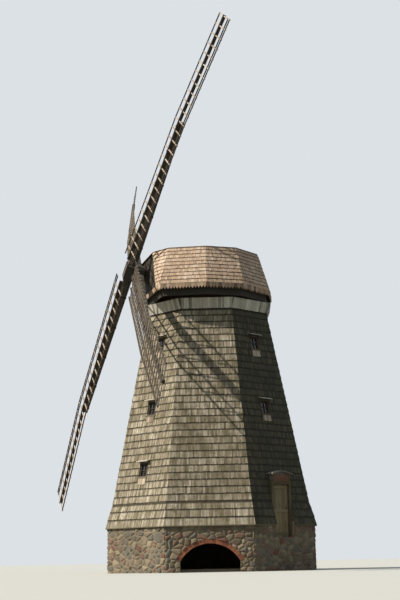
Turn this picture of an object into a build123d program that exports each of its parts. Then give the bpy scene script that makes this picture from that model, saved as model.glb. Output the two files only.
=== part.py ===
from build123d import *
from math import atan2, cos, degrees, hypot, radians, sin, tan
import os

# Eight-sided smock windmill: a rubble base with a brick arch, a shingled battered
# tower, a turning cap and four lattice sails. Millimetres, +Z up. The origin is on
# the tower's axis at ground level, and -Y is the side with the arch.

# Masonry base
SIDES = 8
BASE_APOTHEM = 3760.0
BASE_WALL = 600.0
BASE_HEIGHT = 1720.0
ARCH_SPAN = 2100.0
ARCH_SPRING = 380.0
ARCH_CROWN = 990.0
ARCH_RING = 240.0

# Shingled tower
BATTER_FOOT_APOTHEM = 3590.0
BATTER_FOOT_Z = 2470.0
NECK_APOTHEM = 2238.0
TOWER_TOP_Z = 10000.0
NECK_Z = TOWER_TOP_Z - 390.0
TOWER_WALL = 130.0
SKIRT_APOTHEM = 3870.0
SKIRT_Z = 1580.0
SKIRT_LIP = 45.0
COLLAR_APOTHEM = 2430.0
COLLAR_TOP_Z = TOWER_TOP_Z - 20.0
COLLAR_BOARD = 30.0
CURB_WIDTH = 280.0
CURB_HEIGHT = 110.0
CURB_EDGE_GAP = 15.0
RING_TIMBERS = 16

# Floors
FLAGSTONES = 100.0
GROUND_FLOOR_Z = 1180.0
UPPER_FLOORS = (4650.0, 6950.0, 9250.0)
FLOOR_BOARDS = 120.0

# Windows, with the heights of their centres on each side that has them
WINDOW_WIDTH = 430.0
WINDOW_HEIGHT = 520.0
WINDOW_FRAME = 55.0
WINDOW_DEPTH = 100.0
WINDOW_INSET = 20.0
GLASS = 8.0
HOOD_WIDTH = 600.0
HOOD_REACH = 190.0
HOOD_BOARD = 25.0
HOOD_SLOPE = 25.0
HOOD_GAP = 40.0
THREE_STOREYS = (3650.0, 5920.0, 8350.0)
TWO_STOREYS = (5880.0, 8330.0)
WINDOWS = {7: THREE_STOREYS, 1: TWO_STOREYS, 3: THREE_STOREYS, 5: THREE_STOREYS}

# Door
DOOR_SIDE = 1
DOOR_WIDTH = 820.0
DOOR_TOP_Z = 3050.0
DOOR_FACE = 3540.0
DOOR_LEAF = 45.0
DOOR_GAP = 6.0
CASING = 90.0
CASING_FRONT = 3640.0
CASING_DEPTH = 320.0
DOOR_ROOF_WIDTH = 1050.0
DOOR_ROOF_REACH = 330.0
DOOR_ROOF_RISE = 110.0
DOOR_ROOF_LIFT = 240.0
DOOR_ROOF_BOARD = 35.0
PINTLE_R = 11.0
KNUCKLE_R = 20.0
KNUCKLE_LENGTH = 110.0
PINTLE_FIT = 0.08
STRAP_HEIGHT = 60.0
STRAP_THICK = 8.0
STRAP_LENGTH = 560.0
STRAP_ENDS = 380.0

# Cap: its plan at the eaves and at the rim, as half-widths along the windshaft's direction
CAP_TURN = 196.2
CAP_PLAN = ((2480.0, 1850.0), (2400.0, 2270.0), (820.0, 2940.0), (-630.0, 2850.0),
            (-1980.0, 1760.0), (-2440.0, 560.0))
CAP_RIM_SHARE = 0.82
RIM_FRONT = (2410.0, 1090.0)
RIM_PLAN = (RIM_FRONT, *((x * CAP_RIM_SHARE, y * CAP_RIM_SHARE) for x, y in CAP_PLAN[1:]))
EAVES_Z = TOWER_TOP_Z + 450.0
RIM_Z = EAVES_Z + 1480.0
RIDGE_Z = RIM_Z + 360.0
RIDGE_SHARE = 0.3
ROOF_THICK = 90.0
FRINGE_HEIGHT = 220.0
FRINGE_THICK = 28.0
DRUM_SHARE = 0.93
DRUM_THICK = 40.0
DRUM_CLEAR = 25.0
SOFFIT_THICK = 30.0
TURN_GAP = 0.3
RING_HEIGHT = 190.0
SHEER_OFFSET = 760.0
SHEER = 240.0
BREAST_THICK = 60.0
JAMB_WIDTH = 90.0
BREAST_LAP = 45.0
BREAST_CLEAR = 36.0

# Windshaft and sails
HUB_REACH = 2920.0
HUB_Z = TOWER_TOP_Z + 1340.0
SHAFT_TILT = 14.2
SAIL_ANGLE = 32.2
SHAFT_R = 240.0
SHAFT_TAIL = 3700.0
GUDGEON_R = 60.0
GUDGEON_LENGTH = 280.0
JOURNAL_FIT = 0.5
NECK_BEAM_BACK = 1060.0
NECK_BEAM = 260.0
TAIL_BEAM = 200.0
HEAD_LENGTH = 760.0
HEAD_WIDTH = 560.0
STOCK_DEPTH = 320.0
STOCK_WIDTH = 260.0
STOCK_REACH = 6150.0
KNEE_PAST_STOCK = 20.0
STOCK_END = 130.0
SAIL_REACH = 10360.0
SAIL_HEEL = 1100.0
WHIP_WIDTH = 110.0
WHIP_DEPTH = 120.0
SAIL_BEND = 340.0
LEAD_WIDTH = 690.0
TRAIL_WIDTH = 900.0
INNER_LATH = 0.6
SAIL_PITCH = 8.0
BAR_COUNT = 25
BAR = 45.0
LATH_WIDTH = 60.0
LATH_THICK = 30.0
BAR_PAST_LATH = 15.0
# All bars on one stock are parallel, so its two sails lean opposite ways seen along their arms
SAIL_HANDS = (1, -1, -1, 1)
NOTCH_PROUD = 8.0

HALF = 180.0 / SIDES
FACE_0 = -90.0
CUT_PAST = 10.0
FLATNESS = 0.001
BATTER = (BATTER_FOOT_APOTHEM - NECK_APOTHEM) / (NECK_Z - BATTER_FOOT_Z)


def tower_apothem(z):
    """Outer apothem of the battered tower at height z."""
    return BATTER_FOOT_APOTHEM - (z - BATTER_FOOT_Z) * BATTER


def octagon(apothem):
    """Corners of an octagon with a flat side towards -Y."""
    radius = apothem / cos(radians(HALF))
    turns = [radians(FACE_0 + HALF + 2 * HALF * corner) for corner in range(SIDES)]
    return [(radius * cos(turn), radius * sin(turn)) for turn in turns]


def flat_loops(a, b, c, d):
    """The four-cornered side as one loop, or as two triangles if it is twisted."""
    twist = (b - a).cross(c - a).normalized().dot(d - a)
    return [(a, b, c, d)] if abs(twist) < FLATNESS else [(a, b, d), (b, c, d)]


def prismoid(low, z_low, high, z_high):
    """Flat-sided solid between two outlines with as many corners, at two heights."""
    foot = [Vector(x, y, z_low) for x, y in low]
    head = [Vector(x, y, z_high) for x, y in high]
    turns = list(range(1, len(foot))) + [0]
    loops = [foot, head]
    for i, j in enumerate(turns):
        loops += flat_loops(foot[i], foot[j], head[j], head[i])
    return Solid(Shell([Face(Wire.make_polygon(loop)) for loop in loops]))


def frustum(apothem_low, z_low, apothem_high, z_high):
    """Eight-sided frustum between two heights."""
    return prismoid(octagon(apothem_low), z_low, octagon(apothem_high), z_high)


def side_turn(side):
    """Rotation that takes something built towards +X to the named side."""
    return Rot(0, 0, FACE_0 + side * 2 * HALF)


def wedge():
    """The eighth of space that one side holds, towards +X."""
    reach = 2 * SKIRT_APOTHEM
    spread = reach * tan(radians(HALF))
    outline = Polyline((0, 0), (reach, -spread), (reach, spread), close=True)
    return extrude(make_face(outline), 2 * RIDGE_Z)


def profile_side(points, side):
    """A side from its section, points of apothem and height, mitred at the corners."""
    section = make_face(Plane.XZ * Polyline(*points, close=True))
    slab = extrude(section, SKIRT_APOTHEM, both=True)
    return side_turn(side) * (slab & wedge())


def box_between(x0, x1, y0, y1, z0, z1):
    """Box given by its low and high corners."""
    centre = ((x0 + x1) / 2, (y0 + y1) / 2, (z0 + z1) / 2)
    return Pos(*centre) * Box(x1 - x0, y1 - y0, z1 - z0)


def wall_frame(side, z):
    """Frame on the tower's battered face: x along the face, y up it, z outwards."""
    turn = FACE_0 + side * 2 * HALF
    lean = degrees(atan2(BATTER, 1))
    at = Pos(tower_apothem(z), 0, z) * Rot(0, 90 - lean, 0) * Rot(0, 0, 90)
    return Rot(0, 0, turn) * at


def union(shapes):
    """Fuse a list of shapes."""
    first, *rest = shapes
    return first.fuse(*rest) if rest else first


# Masonry base

def base_section():
    inner = BASE_APOTHEM - BASE_WALL
    return [(inner, 0), (BASE_APOTHEM, 0), (BASE_APOTHEM, BASE_HEIGHT), (inner, BASE_HEIGHT)]


def arch_profile(extra):
    """Segmental arch opening seen from the front, grown by extra all round."""
    rise = ARCH_CROWN - ARCH_SPRING
    half = ARCH_SPAN / 2
    radius = (half ** 2 + rise ** 2) / (2 * rise)
    centre_z = ARCH_CROWN - radius
    grown = radius + extra
    half_grown = half + extra * half / radius
    spring = centre_z + (grown ** 2 - half_grown ** 2) ** 0.5
    arc = ThreePointArc((-half_grown, spring), (0, centre_z + grown), (half_grown, spring))
    return half_grown, spring, arc


def arch_void(extra, floor_z):
    """Solid of the arch opening through the wall, down to floor_z."""
    half, spring, arc = arch_profile(extra)
    legs = Polyline((half, spring), (half, floor_z), (-half, floor_z), (-half, spring))
    face = make_face(arc + legs)
    standing = Plane.XZ * face
    return Pos(0, -BASE_APOTHEM + BASE_WALL / 2, 0) * extrude(standing, BASE_WALL, both=True)


def arch_ring():
    """Brick ring of the arch, from springing to springing, as deep as the wall."""
    half, spring, arc = arch_profile(0)
    half_out, spring_out, arc_out = arch_profile(ARCH_RING)
    ends = Line((half, spring), (half_out, spring_out)) + Line((-half, spring), (-half_out, spring_out))
    face = make_face(arc + arc_out + ends)
    inner = BASE_APOTHEM - BASE_WALL
    return Pos(0, -inner, 0) * extrude(Plane.XZ * face, BASE_WALL)


def door_void(grow, z_low, z_high):
    """Straight passage through the side with the door, at its sill and width."""
    half = DOOR_WIDTH / 2 + grow
    inner = BASE_APOTHEM - 2 * BASE_WALL
    passage = box_between(inner, SKIRT_APOTHEM + BASE_WALL, -half, half, z_low, z_high)
    return side_turn(DOOR_SIDE) * passage


# Openings in the tower

def window_hole(side, z):
    return wall_frame(side, z) * Box(WINDOW_WIDTH, WINDOW_HEIGHT, 4 * TOWER_WALL)


def window_frame(side, z):
    outer = Box(WINDOW_WIDTH, WINDOW_HEIGHT, WINDOW_DEPTH)
    light = Box(WINDOW_WIDTH - 2 * WINDOW_FRAME, WINDOW_HEIGHT - 2 * WINDOW_FRAME, 2 * WINDOW_DEPTH)
    return wall_frame(side, z) * Pos(0, 0, -WINDOW_DEPTH / 2 - WINDOW_INSET) * (outer - light)


def window_pane(side, z):
    pane = Box(WINDOW_WIDTH - 2 * WINDOW_FRAME, WINDOW_HEIGHT - 2 * WINDOW_FRAME, GLASS)
    return wall_frame(side, z) * Pos(0, 0, -WINDOW_DEPTH / 2 - WINDOW_INSET) * pane


def window_hood(side, z):
    """Sloping board over a window, its top edge let against the shingles."""
    lift = WINDOW_HEIGHT / 2 + HOOD_GAP + HOOD_REACH * sin(radians(HOOD_SLOPE))
    drop = HOOD_REACH * sin(radians(HOOD_SLOPE))
    reach = HOOD_REACH * cos(radians(HOOD_SLOPE))
    points = [(0, lift), (reach, lift - drop), (reach, lift - drop - HOOD_BOARD), (0, lift - HOOD_BOARD)]
    section = make_face(Plane.YZ * Polyline(*[(y, z_) for z_, y in points], close=True))
    board = extrude(section, HOOD_WIDTH / 2, both=True)
    return wall_frame(side, z) * board


def each_window(maker):
    return [maker(side, z) for side, heights in WINDOWS.items() for z in heights]


# Tower sides

def tower_section():
    top_out = tower_apothem(TOWER_TOP_Z)
    return [(tower_apothem(BASE_HEIGHT) - TOWER_WALL, BASE_HEIGHT), (BASE_APOTHEM, BASE_HEIGHT),
            (BASE_APOTHEM, SKIRT_Z + SKIRT_LIP), (SKIRT_APOTHEM, SKIRT_Z),
            (BATTER_FOOT_APOTHEM, BATTER_FOOT_Z), (top_out, TOWER_TOP_Z), (top_out - TOWER_WALL, TOWER_TOP_Z)]


def tower_side(side):
    panel = profile_side(tower_section(), side)
    for z in WINDOWS.get(side, ()):
        panel = panel - window_hole(side, z)
    if side == DOOR_SIDE:
        panel = panel - door_void(CASING, 0, DOOR_TOP_Z + CASING)
    return panel


def collar():
    """Flared ring of upright shingles that ends the tower under the cap."""
    low = NECK_Z
    outer = frustum(tower_apothem(low) + COLLAR_BOARD, low, COLLAR_APOTHEM, COLLAR_TOP_Z)
    return outer - frustum(tower_apothem(low), low, tower_apothem(COLLAR_TOP_Z), COLLAR_TOP_Z)


def timber_ring(low, height):
    """Ring of short straight timbers that carries the cap or turns on it."""
    outer = tower_apothem(TOWER_TOP_Z) - CURB_EDGE_GAP
    plan = RegularPolygon(outer, RING_TIMBERS) - RegularPolygon(outer - CURB_WIDTH, RING_TIMBERS)
    return Pos(0, 0, low) * extrude(plan, height)


def curb():
    return timber_ring(TOWER_TOP_Z, CURB_HEIGHT)


def floor_plate(top_z):
    """Boarded floor that fills the tower between its walls."""
    low = top_z - FLOOR_BOARDS
    return frustum(tower_apothem(low) - TOWER_WALL, low, tower_apothem(top_z) - TOWER_WALL, top_z)


def undercroft_floor():
    """Flagstones between the foot of the base walls."""
    inner = BASE_APOTHEM - BASE_WALL
    return frustum(inner, 0, inner, FLAGSTONES)


def ground_floor():
    inner = BASE_APOTHEM - BASE_WALL
    return frustum(inner, GROUND_FLOOR_Z - FLOOR_BOARDS, inner, GROUND_FLOOR_Z)


# Door

def door_casing():
    half = DOOR_WIDTH / 2
    back = CASING_FRONT - CASING_DEPTH
    outer = box_between(back, CASING_FRONT, -half - CASING, half + CASING, GROUND_FLOOR_Z, DOOR_TOP_Z + CASING)
    hole = box_between(back - CUT_PAST, CASING_FRONT + CUT_PAST, -half, half, GROUND_FLOOR_Z - CUT_PAST, DOOR_TOP_Z)
    return side_turn(DOOR_SIDE) * (outer - hole)


def door_roof():
    """Small two-sloped board roof on a block that stands on the casing's head."""
    half = DOOR_ROOF_WIDTH / 2
    block = DOOR_WIDTH / 2
    head = DOOR_TOP_Z + CASING
    low = head + DOOR_ROOF_LIFT
    ridge = low + DOOR_ROOF_RISE
    shoulder = ridge - DOOR_ROOF_RISE * block / half
    boards = Polyline((-half, low), (0, ridge), (half, low), (half, low + DOOR_ROOF_BOARD),
                      (0, ridge + DOOR_ROOF_BOARD), (-half, low + DOOR_ROOF_BOARD), close=True)
    under = Polyline((-block, head), (block, head), (block, shoulder), (0, ridge), (-block, shoulder), close=True)
    start = tower_apothem(ridge) - TOWER_WALL / 4
    face = tower_apothem(low)
    roof = Pos(start, 0, 0) * extrude(make_face(Plane.YZ * boards), face + DOOR_ROOF_REACH - start)
    carrier = Pos(start, 0, 0) * extrude(make_face(Plane.YZ * under), CASING_FRONT - start)
    return side_turn(DOOR_SIDE) * (roof + carrier) - profile_side(tower_section(), DOOR_SIDE)


def hinge_heights():
    return (GROUND_FLOOR_Z + STRAP_ENDS, DOOR_TOP_Z - STRAP_ENDS)


HINGE_X = DOOR_FACE - DOOR_LEAF - KNUCKLE_R
HINGE_Y = DOOR_WIDTH / 2 - DOOR_GAP


def door_leaf():
    half = DOOR_WIDTH / 2 - DOOR_GAP
    back = DOOR_FACE - DOOR_LEAF
    leaf = box_between(back, DOOR_FACE, -half, half, GROUND_FLOOR_Z + DOOR_GAP, DOOR_TOP_Z - DOOR_GAP)
    for z in hinge_heights():
        strap = box_between(back - STRAP_THICK, back, HINGE_Y - STRAP_LENGTH, HINGE_Y,
                            z - STRAP_HEIGHT / 2, z + STRAP_HEIGHT / 2)
        knuckle = Pos(HINGE_X, HINGE_Y - KNUCKLE_R, z) * Cylinder(KNUCKLE_R, KNUCKLE_LENGTH)
        leaf = leaf + strap + knuckle
        leaf = leaf - Pos(HINGE_X, HINGE_Y - KNUCKLE_R, z) * Cylinder(PINTLE_R + PINTLE_FIT, KNUCKLE_LENGTH)
    return side_turn(DOOR_SIDE) * leaf


def door_pintles():
    pins = []
    for z in hinge_heights():
        foot = z - KNUCKLE_LENGTH / 2 - DOOR_GAP
        pin = Pos(HINGE_X, HINGE_Y - KNUCKLE_R, z - DOOR_GAP) * Cylinder(PINTLE_R, KNUCKLE_LENGTH + 2 * DOOR_GAP)
        arm = box_between(HINGE_X - PINTLE_R, HINGE_X + PINTLE_R, HINGE_Y - KNUCKLE_R - PINTLE_R,
                          DOOR_WIDTH / 2, foot - STRAP_HEIGHT / 2, foot)
        pins.append(pin + arm)
    return side_turn(DOOR_SIDE) * union(pins)


# Cap, built with the windshaft's direction towards +X

def cap_turn():
    return Rot(0, 0, CAP_TURN)


def cap_outline(plan, share=1.0, inset=0.0):
    """Corners of a plan of the cap, scaled by share, with its sides moved in by inset."""
    left = [Vector(x * share, y * share) for x, y in plan]
    corners = left + [Vector(point.X, -point.Y) for point in reversed(left)]
    moved = []
    for before, here, after in zip(corners[-1:] + corners[:-1], corners, corners[1:] + corners[:1]):
        first = (here - before).normalized().rotate(Axis.Z, 90)
        second = (after - here).normalized().rotate(Axis.Z, 90)
        shift = (first + second) * (inset / (1 + first.dot(second)))
        moved.append((here.X + shift.X, here.Y + shift.Y))
    return moved


def cap_body(inset):
    """Closed body under the steep roof sides, from the eaves up to the rim."""
    return prismoid(cap_outline(CAP_PLAN, 1, inset), EAVES_Z, cap_outline(RIM_PLAN, 1, inset), RIM_Z)


def cap_crown(inset, drop):
    """Low hipped top over the rim, lowered by drop."""
    ridge = cap_outline(RIM_PLAN, RIDGE_SHARE, inset)
    return prismoid(cap_outline(RIM_PLAN, 1, inset), RIM_Z - drop, ridge, RIDGE_Z - drop)


def cap_band(share, inset, low, high):
    """Upright ring that follows the plan of the eaves."""
    outer = cap_outline(CAP_PLAN, share)
    inner = cap_outline(CAP_PLAN, share, inset)
    return prismoid(outer, low, outer, high) - prismoid(inner, low, inner, high)


def half_space(x0, x1, y0, y1):
    return box_between(x0, x1, y0, y1, 0, 2 * RIDGE_Z)


def front_slab(depth, thick, narrower):
    """Slab that leans as the cap's front does, depth behind it, narrower on both sides."""
    outlines = []
    for x, y in (CAP_PLAN[0], RIM_FRONT):
        half = y - narrower
        front = x - depth
        outlines.append([(front - thick, -half), (front, -half), (front, half), (front - thick, half)])
    low, high = outlines
    return prismoid(low, EAVES_Z, high, RIM_Z)


def cap_shell():
    """Steep sides of the cap as one hollow shell, open at the front between two jambs."""
    shell = cap_body(0) - cap_body(ROOF_THICK)
    return shell - front_slab(-CUT_PAST, ROOF_THICK + 2 * CUT_PAST, JAMB_WIDTH)


def cap_pieces():
    shell = cap_shell()
    tail_x = CAP_PLAN[4][0]
    far = 2 * SKIRT_APOTHEM
    left = shell & half_space(tail_x, far, 0, far)
    right = shell & half_space(tail_x, far, -far, 0)
    tail = shell & half_space(-far, tail_x, -far, far)
    return {"cap_side_left": left, "cap_side_right": right, "cap_tail": tail}


def cap_top():
    return cap_crown(0, 0) - cap_crown(ROOF_THICK, ROOF_THICK)


def cap_breast():
    """Boarded front of the cap behind the jambs, with a round opening for the windshaft."""
    board = front_slab(ROOF_THICK, BREAST_THICK, JAMB_WIDTH - BREAST_LAP)
    return board - shaft_frame() * Cylinder(SHAFT_R + BREAST_CLEAR, 4 * HUB_REACH)


def cap_fringe():
    return cap_band(1, FRINGE_THICK, EAVES_Z - FRINGE_HEIGHT, EAVES_Z)


def cap_soffit():
    """Level boards under the eaves and the upright drum that hides the curb."""
    low = EAVES_Z - SOFFIT_THICK
    inner = cap_outline(CAP_PLAN, 1, FRINGE_THICK)
    hole = cap_outline(CAP_PLAN, DRUM_SHARE, DRUM_THICK)
    boards = prismoid(inner, low, inner, EAVES_Z) - prismoid(hole, low, hole, EAVES_Z)
    return boards + cap_band(DRUM_SHARE, DRUM_THICK, TOWER_TOP_Z + DRUM_CLEAR, low)


def ring_z():
    return TOWER_TOP_Z + CURB_HEIGHT + TURN_GAP


def sheer_z():
    return ring_z() + RING_HEIGHT


def cap_sheers():
    low = sheer_z()
    beams = []
    for sign in (-1, 1):
        y = sign * SHEER_OFFSET
        front = CAP_PLAN[0][0] * DRUM_SHARE - DRUM_THICK
        back = CAP_PLAN[5][0] * CAP_RIM_SHARE
        beams.append(box_between(back, front, y - SHEER / 2, y + SHEER / 2, low, low + SHEER))
    return beams


# Windshaft and sails, built on the shaft's own frame: z towards the wind, x along the first sail

def shaft_frame():
    tilt = radians(SHAFT_TILT)
    wind = Vector(cos(tilt), 0, sin(tilt))
    up = Vector(-sin(tilt), 0, cos(tilt))
    side = Vector(0, 1, 0)
    turn = radians(SAIL_ANGLE)
    along = up * cos(turn) + side * sin(turn)
    return Plane(origin=(HUB_REACH, 0, HUB_Z), x_dir=along, z_dir=wind).location


def shaft_z(x):
    """Height of the windshaft's axis above the cap-frame point x."""
    return HUB_Z - (HUB_REACH - x) * tan(radians(SHAFT_TILT))


def bearing_beam(x, thickness, radius, low):
    """Cross beam with a half-round seat for the shaft."""
    high = shaft_z(x)
    reach = SHEER_OFFSET + SHEER / 2
    beam = box_between(x - thickness / 2, x + thickness / 2, -reach, reach, low, high)
    return beam - shaft_frame() * Cylinder(radius + JOURNAL_FIT, 4 * HUB_REACH)


def neck_beam():
    return bearing_beam(HUB_REACH - NECK_BEAM_BACK, NECK_BEAM, SHAFT_R, sheer_z() + SHEER)


def tail_beam():
    """Cross beam between the sheers that holds the shaft's iron gudgeon."""
    x = HUB_REACH - (SHAFT_TAIL + GUDGEON_LENGTH) * cos(radians(SHAFT_TILT))
    reach = SHEER_OFFSET - SHEER / 2
    beam = box_between(x, x + TAIL_BEAM, -reach, reach, ring_z(), shaft_z(x) + 2 * GUDGEON_R)
    return beam - shaft_frame() * Cylinder(GUDGEON_R + JOURNAL_FIT, 4 * HUB_REACH)


def windshaft():
    body = Pos(0, 0, -SHAFT_TAIL / 2 - HEAD_LENGTH / 4) * Cylinder(SHAFT_R, SHAFT_TAIL - HEAD_LENGTH / 2)
    pin = Pos(0, 0, -SHAFT_TAIL - GUDGEON_LENGTH / 2) * Cylinder(GUDGEON_R, GUDGEON_LENGTH)
    return body + pin


def sail_head():
    """Timber head of the shaft, with a through mortise for each stock."""
    head = Box(HEAD_WIDTH, HEAD_WIDTH, HEAD_LENGTH)
    return head - stock(0) - stock(1)


def stock(level):
    """Tapered timber through the head; level 0 lies along x in front, level 1 along y behind."""
    z = (0.5 - level) * STOCK_DEPTH
    points = [(0, STOCK_WIDTH / 2), (STOCK_REACH, STOCK_END / 2), (STOCK_REACH, -STOCK_END / 2),
              (0, -STOCK_WIDTH / 2), (-STOCK_REACH, -STOCK_END / 2), (-STOCK_REACH, STOCK_END / 2)]
    plan = extrude(make_face(Polyline(*points, close=True)), STOCK_DEPTH / 2, both=True)
    taper = STOCK_DEPTH - STOCK_END
    cut = Polyline((HEAD_WIDTH / 2, STOCK_DEPTH / 2), (STOCK_REACH, STOCK_DEPTH / 2),
                   (STOCK_REACH, STOCK_DEPTH / 2 - taper), close=True)
    chip = extrude(make_face(Plane.XZ * cut), STOCK_WIDTH, both=True)
    body = plan - chip - Rot(0, 0, 180) * chip
    return Pos(0, 0, z) * Rot(0, 0, 90 * level) * body


def rail(p, q, width, depth):
    """Straight square-edged rail from p to q, its depth as near the z axis as it goes."""
    start = Vector(*p)
    run = Vector(*q) - start
    across = Vector(0, 0, 1).cross(run).normalized()
    frame = Plane(origin=start, x_dir=across, z_dir=run.normalized())
    return extrude(frame * Rectangle(width, depth), run.length)


def whip_z(rho):
    """Height of the whip's middle line over its stock's middle plane at radius rho."""
    slope = (STOCK_DEPTH - STOCK_END) / (STOCK_REACH - HEAD_WIDTH / 2)
    knee = STOCK_REACH + KNEE_PAST_STOCK
    on_stock = min(rho, knee)
    past = max(0.0, rho - knee) / (SAIL_REACH - knee)
    face = STOCK_DEPTH / 2 - (on_stock - HEAD_WIDTH / 2) * slope
    return face + WHIP_DEPTH / 2 * hypot(1, slope) - past * SAIL_BEND


def on_sail(rho, y, hand):
    """Point of the lattice at radius rho, y across from the whip; it lies in the whip's windward face."""
    rise = WHIP_DEPTH / 2 - BAR / 2 + NOTCH_PROUD
    turn = radians(hand * SAIL_PITCH)
    return (rho, y * cos(turn), whip_z(rho) + rise + y * sin(turn))


def knots():
    return (SAIL_HEEL, STOCK_REACH + KNEE_PAST_STOCK, SAIL_REACH)


def whip():
    marks = knots()
    pieces = []
    for a, b in zip(marks, marks[1:]):
        pieces.append(rail((a, 0, whip_z(a)), (b, 0, whip_z(b)), WHIP_WIDTH, WHIP_DEPTH))
    return union(pieces)


def bar_places():
    """Radii of the bars, evenly spread on each run, with one bar where the laths bend."""
    first, knee, last = SAIL_HEEL + BAR, knots()[1], SAIL_REACH - BAR
    inner = round((BAR_COUNT - 1) * (knee - first) / (last - first))
    outer = BAR_COUNT - 1 - inner
    near = [first + i * (knee - first) / inner for i in range(inner)]
    return near + [knee + i * (last - knee) / outer for i in range(outer + 1)]


def bars(hand):
    ends = [(on_sail(rho, -TRAIL_WIDTH, hand), on_sail(rho, LEAD_WIDTH, hand)) for rho in bar_places()]
    return [rail(trail, lead, BAR, BAR) for trail, lead in ends]


def lattice(hand):
    marks = knots()
    pieces = bars(hand)
    inset = LATH_WIDTH / 2 + BAR_PAST_LATH
    for y in (-TRAIL_WIDTH + inset, -TRAIL_WIDTH * INNER_LATH, LEAD_WIDTH - inset):
        for a, b in zip(marks, marks[1:]):
            pieces.append(rail(on_sail(a, y, hand), on_sail(b, y, hand), LATH_WIDTH, LATH_THICK))
    return union(pieces)


def sails():
    """Each sail's whip and lattice, turned to its arm and set on its stock's level."""
    parts = {}
    for arm, hand in enumerate(SAIL_HANDS):
        at = shaft_frame() * Rot(0, 0, 90 * arm) * Pos(0, 0, (0.5 - arm % 2) * STOCK_DEPTH)
        cut_whip = whip()
        for bar in bars(hand):
            cut_whip = cut_whip - bar
        parts[f"sail_{arm + 1}_whip"] = at * cut_whip
        parts[f"sail_{arm + 1}_lattice"] = at * lattice(hand)
    return parts


def build():
    nodes = {}
    front = profile_side(base_section(), 0) - arch_void(0, -CUT_PAST) - arch_ring()
    nodes["base_wall_front"] = front
    nodes["arch_ring"] = arch_ring()
    door_wall = profile_side(base_section(), DOOR_SIDE)
    nodes["base_wall_door"] = door_wall - door_void(CASING, GROUND_FLOOR_Z, BASE_HEIGHT + CUT_PAST)
    for name, side in {"right": 2, "back": 4, "left": 6}.items():
        pair = [profile_side(base_section(), side), profile_side(base_section(), side + 1)]
        nodes[f"base_wall_{name}"] = union(pair)
    for side in range(SIDES):
        nodes[f"tower_side_{side}"] = tower_side(side)
    nodes["collar"] = collar()
    nodes["curb"] = curb()
    nodes["undercroft_floor"] = undercroft_floor()
    nodes["ground_floor"] = ground_floor()
    nodes["upper_floors"] = [floor_plate(top_z) for top_z in UPPER_FLOORS]
    nodes["window_frames"] = each_window(window_frame)
    nodes["window_glass"] = each_window(window_pane)
    nodes["window_hoods"] = each_window(window_hood)
    nodes["door_casing"] = door_casing() + door_pintles()
    nodes["door_roof"] = door_roof()
    nodes["door_leaf"] = door_leaf()
    turn = cap_turn()
    for name, shape in cap_pieces().items():
        nodes[name] = turn * shape
    nodes["cap_top"] = turn * cap_top()
    nodes["cap_breast"] = turn * cap_breast()
    nodes["cap_fringe"] = turn * cap_fringe()
    nodes["cap_soffit"] = turn * cap_soffit()
    nodes["cap_frame"] = turn * union([timber_ring(ring_z(), RING_HEIGHT), *cap_sheers(), neck_beam(), tail_beam()])
    nodes["windshaft"] = turn * shaft_frame() * windshaft()
    nodes["sail_head"] = turn * shaft_frame() * sail_head()
    nodes["stock_1"] = turn * shaft_frame() * stock(0)
    nodes["stock_2"] = turn * shaft_frame() * stock(1)
    for name, shape in sails().items():
        nodes[name] = turn * shape
    return nodes


os.makedirs("parts", exist_ok=True)
for name, shape in build().items():
    whole = Compound(children=list(shape)) if isinstance(shape, list) else shape
    export_step(whole, f"parts/{name}.step")
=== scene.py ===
import math
import bpy
import numpy as np
from mathutils import Matrix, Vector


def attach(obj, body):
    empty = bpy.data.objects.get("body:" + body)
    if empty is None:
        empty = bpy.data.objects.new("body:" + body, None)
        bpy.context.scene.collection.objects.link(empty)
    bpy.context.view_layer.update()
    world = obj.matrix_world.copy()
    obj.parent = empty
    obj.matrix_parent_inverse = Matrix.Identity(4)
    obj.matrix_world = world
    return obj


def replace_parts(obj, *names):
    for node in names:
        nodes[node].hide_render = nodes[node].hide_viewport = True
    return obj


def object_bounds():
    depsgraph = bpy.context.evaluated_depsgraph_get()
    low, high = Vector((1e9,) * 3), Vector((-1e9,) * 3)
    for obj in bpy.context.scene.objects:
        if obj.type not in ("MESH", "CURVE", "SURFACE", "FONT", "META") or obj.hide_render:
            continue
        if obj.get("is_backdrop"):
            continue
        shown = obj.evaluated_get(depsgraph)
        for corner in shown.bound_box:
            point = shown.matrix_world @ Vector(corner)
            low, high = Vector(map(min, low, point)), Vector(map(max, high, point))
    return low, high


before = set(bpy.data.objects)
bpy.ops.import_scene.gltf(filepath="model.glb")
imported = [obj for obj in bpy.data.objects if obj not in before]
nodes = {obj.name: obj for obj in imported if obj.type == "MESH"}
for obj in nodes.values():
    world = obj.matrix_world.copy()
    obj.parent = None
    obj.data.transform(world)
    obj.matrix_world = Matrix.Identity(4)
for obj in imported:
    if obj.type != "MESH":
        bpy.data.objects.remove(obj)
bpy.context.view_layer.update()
scene = bpy.context.scene

# Viewpoint: the mill is looked up at from knee height, 49 m off and square to the side with
# the arch. Yaw, pitch and roll are the turns of that gaze from level and due +Y.
GAZE_YAW, GAZE_PITCH, GAZE_ROLL = -0.028, 0.200, -0.018
DISTANCE, EYE_HEIGHT, BEARING = 49.21, 0.40, 0.022
FOCAL_PIXELS, FRAME_PIXELS, SENSOR, VIEW_END = 1285.4, 600, 36.0, 1000.0
gaze = np.array([math.sin(GAZE_YAW) * math.cos(GAZE_PITCH), math.cos(GAZE_YAW) * math.cos(GAZE_PITCH),
                 math.sin(GAZE_PITCH)])
level = np.array([math.cos(GAZE_YAW), -math.sin(GAZE_YAW), 0.0])
right = math.cos(GAZE_ROLL) * level + math.sin(GAZE_ROLL) * np.cross(level, gaze)
camera = bpy.data.objects.new("viewpoint", bpy.data.cameras.new("viewpoint"))
camera.data.sensor_width = SENSOR
camera.data.lens = FOCAL_PIXELS * SENSOR / FRAME_PIXELS
camera.data.clip_end = VIEW_END
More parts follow.
